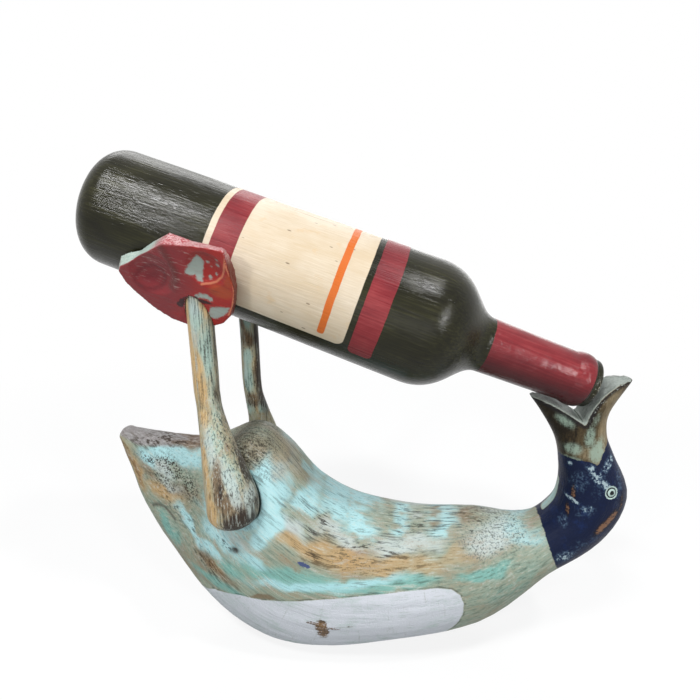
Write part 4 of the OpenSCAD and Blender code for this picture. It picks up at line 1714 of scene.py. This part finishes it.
@dataclass
class Studio:
    """Floor, backdrop, lamps and camera.

    Attributes:
        eye: Place of the camera.
        forward: Direction that it looks in.
        right: Direction to its right.
        focal: Focal length in pixels of the picture.
        picture: Width of the picture in pixels.
        film: Width of the camera's film.
        reach: Half the width of the floor, in metres.
        soft: Strength of the light that fills the room.
        lamps: The soft boxes.
    """

    eye: Point = (42.8, -290.7, 290.7)
    forward: Point = (-0.103, 0.947, -0.304)
    right: Point = (0.994, 0.108, 0.0)
    focal: float = 526.0
    picture: float = 700.0
    film: float = 36.0
    reach: float = 6.0
    soft: float = 0.22
    lamps: tuple[Lamp, ...] = (
        Lamp("key", (-0.30, -0.64, 1.29), (-0.03, 0, 0.2), (0.3, 0.13), 8.6),
        Lamp("left", (-0.46, -0.95, 0.74), (-0.05, 0, 0.22), (0.1, 0.1), 3.5),
        Lamp("upper_side", (0.50, -0.29, 1.21), (0.04, 0, 0.2), (0.1, 0.1), 4.4),
        Lamp("side", (0.77, -0.81, 0.54), (0.04, 0, 0.2), (0.11, 0.11), 4.2),
        Lamp("low", (0.0, -1.1, 0.25), (0, 0, 0.15), (1.0, 0.5), 2.2),
        Lamp("rear", (-0.25, 0.85, 1.05), (0, 0, 0.15), (1.0, 0.4), 4.0),
        Lamp("low_rear", (0.1, 1.1, 0.3), (0, 0, 0.15), (1.0, 0.5), 2.4),
    )

    def camera(self) -> None:
        """Sets the camera where the photograph was taken from."""
        data = bpy.data.cameras.new("camera")
        data.sensor_width = self.film
        data.lens = self.focal / self.picture * self.film
        data.clip_start = 0.01
        view = bpy.data.objects.new("camera", data)
        bpy.context.scene.collection.objects.link(view)
        back = -Vector(self.forward).normalized()
        right = Vector(self.right).normalized()
        up = back.cross(right).normalized()
        right = up.cross(back)
        turn = Matrix((right, up, back)).transposed().to_4x4()
        view.matrix_world = Matrix.Translation(Vector(self.eye) * MM) @ turn
        bpy.context.scene.camera = view

    def floor(self) -> None:
        """Lays a wide pale floor that keeps the object's shadow and throws little light back up."""
        shader = Shader.material("studio_floor")
        place = shader.place()
        far = (place.along((MM, 0, 0)) ** 2 + place.along((0, MM, 0)) ** 2).step(0.02, 0.5)
        lit, dull = (shader.value("ShaderNodeBsdfDiffuse", {}, {"Color": colour})
                     for colour in ((0.9, 0.9, 0.9), (0.2, 0.22, 0.22)))
        glow = shader.value("ShaderNodeEmission", {}, {"Color": (1.0, 1.0, 1.0), "Strength": 1.0})
        white = shader.value("ShaderNodeMixShader", {}, {0: far * 0.18 + 0.82, 1: lit, 2: glow})
        both = shader.value("ShaderNodeMixShader", {}, {0: shader.seen(), 1: dull, 2: white})
        shader.node("ShaderNodeOutputMaterial", {}, {"Surface": both})
        mesh = bpy.data.meshes.new("studio_floor")
        sides = ((-1, -1), (1, -1), (1, 1), (-1, 1))
        mesh.from_pydata([(x * self.reach, y * self.reach, 0) for x, y in sides], [], [range(4)])
        mesh.materials.append(shader.owner)
        floor = bpy.data.objects.new("studio_floor", mesh)
        floor.location.z = -0.2 * MM
        bpy.context.scene.collection.objects.link(floor)

    def sky(self) -> None:
        """Fills the room with soft light and shows the camera plain white."""
        world = bpy.data.worlds.new("studio")
        bpy.context.scene.world = world
        shader = Shader(world)
        soft, white = (
            shader.value("ShaderNodeBackground", {}, {"Color": colour, "Strength": power})
            for colour, power in (((0.9, 0.96, 1.0), self.soft), ((1.0, 1.0, 1.0), 1.0)))
        both = shader.value("ShaderNodeMixShader", {}, {0: shader.seen(), 1: soft, 2: white})
        shader.node("ShaderNodeOutputWorld", {}, {"Surface": both})

    def build(self) -> None:
        """Sets up the whole studio."""
        self.camera()
        self.floor()
        self.sky()
        for lamp in self.lamps:
            lamp.hang()
        bpy.context.scene.view_settings.view_transform = "Standard"
        LOG.info("studio: camera and %d lamps stand", len(self.lamps))


def main() -> None:
    """Builds the pieces in order and reports each one."""
    logging.basicConfig(level=logging.INFO, format="%(name)s: %(message)s")
    Studio().build()
    bottle = Bottle()
    DuckBody().build(WornPaint())
    stain, red = RubbedStain().material(), RedFootPaint().material()
    for side in Side:
        Leg(side).build(stain)
        Foot(side, bottle).build(red)
    bottle.build(BottlePaint())


if __name__ == "__main__":
    main()
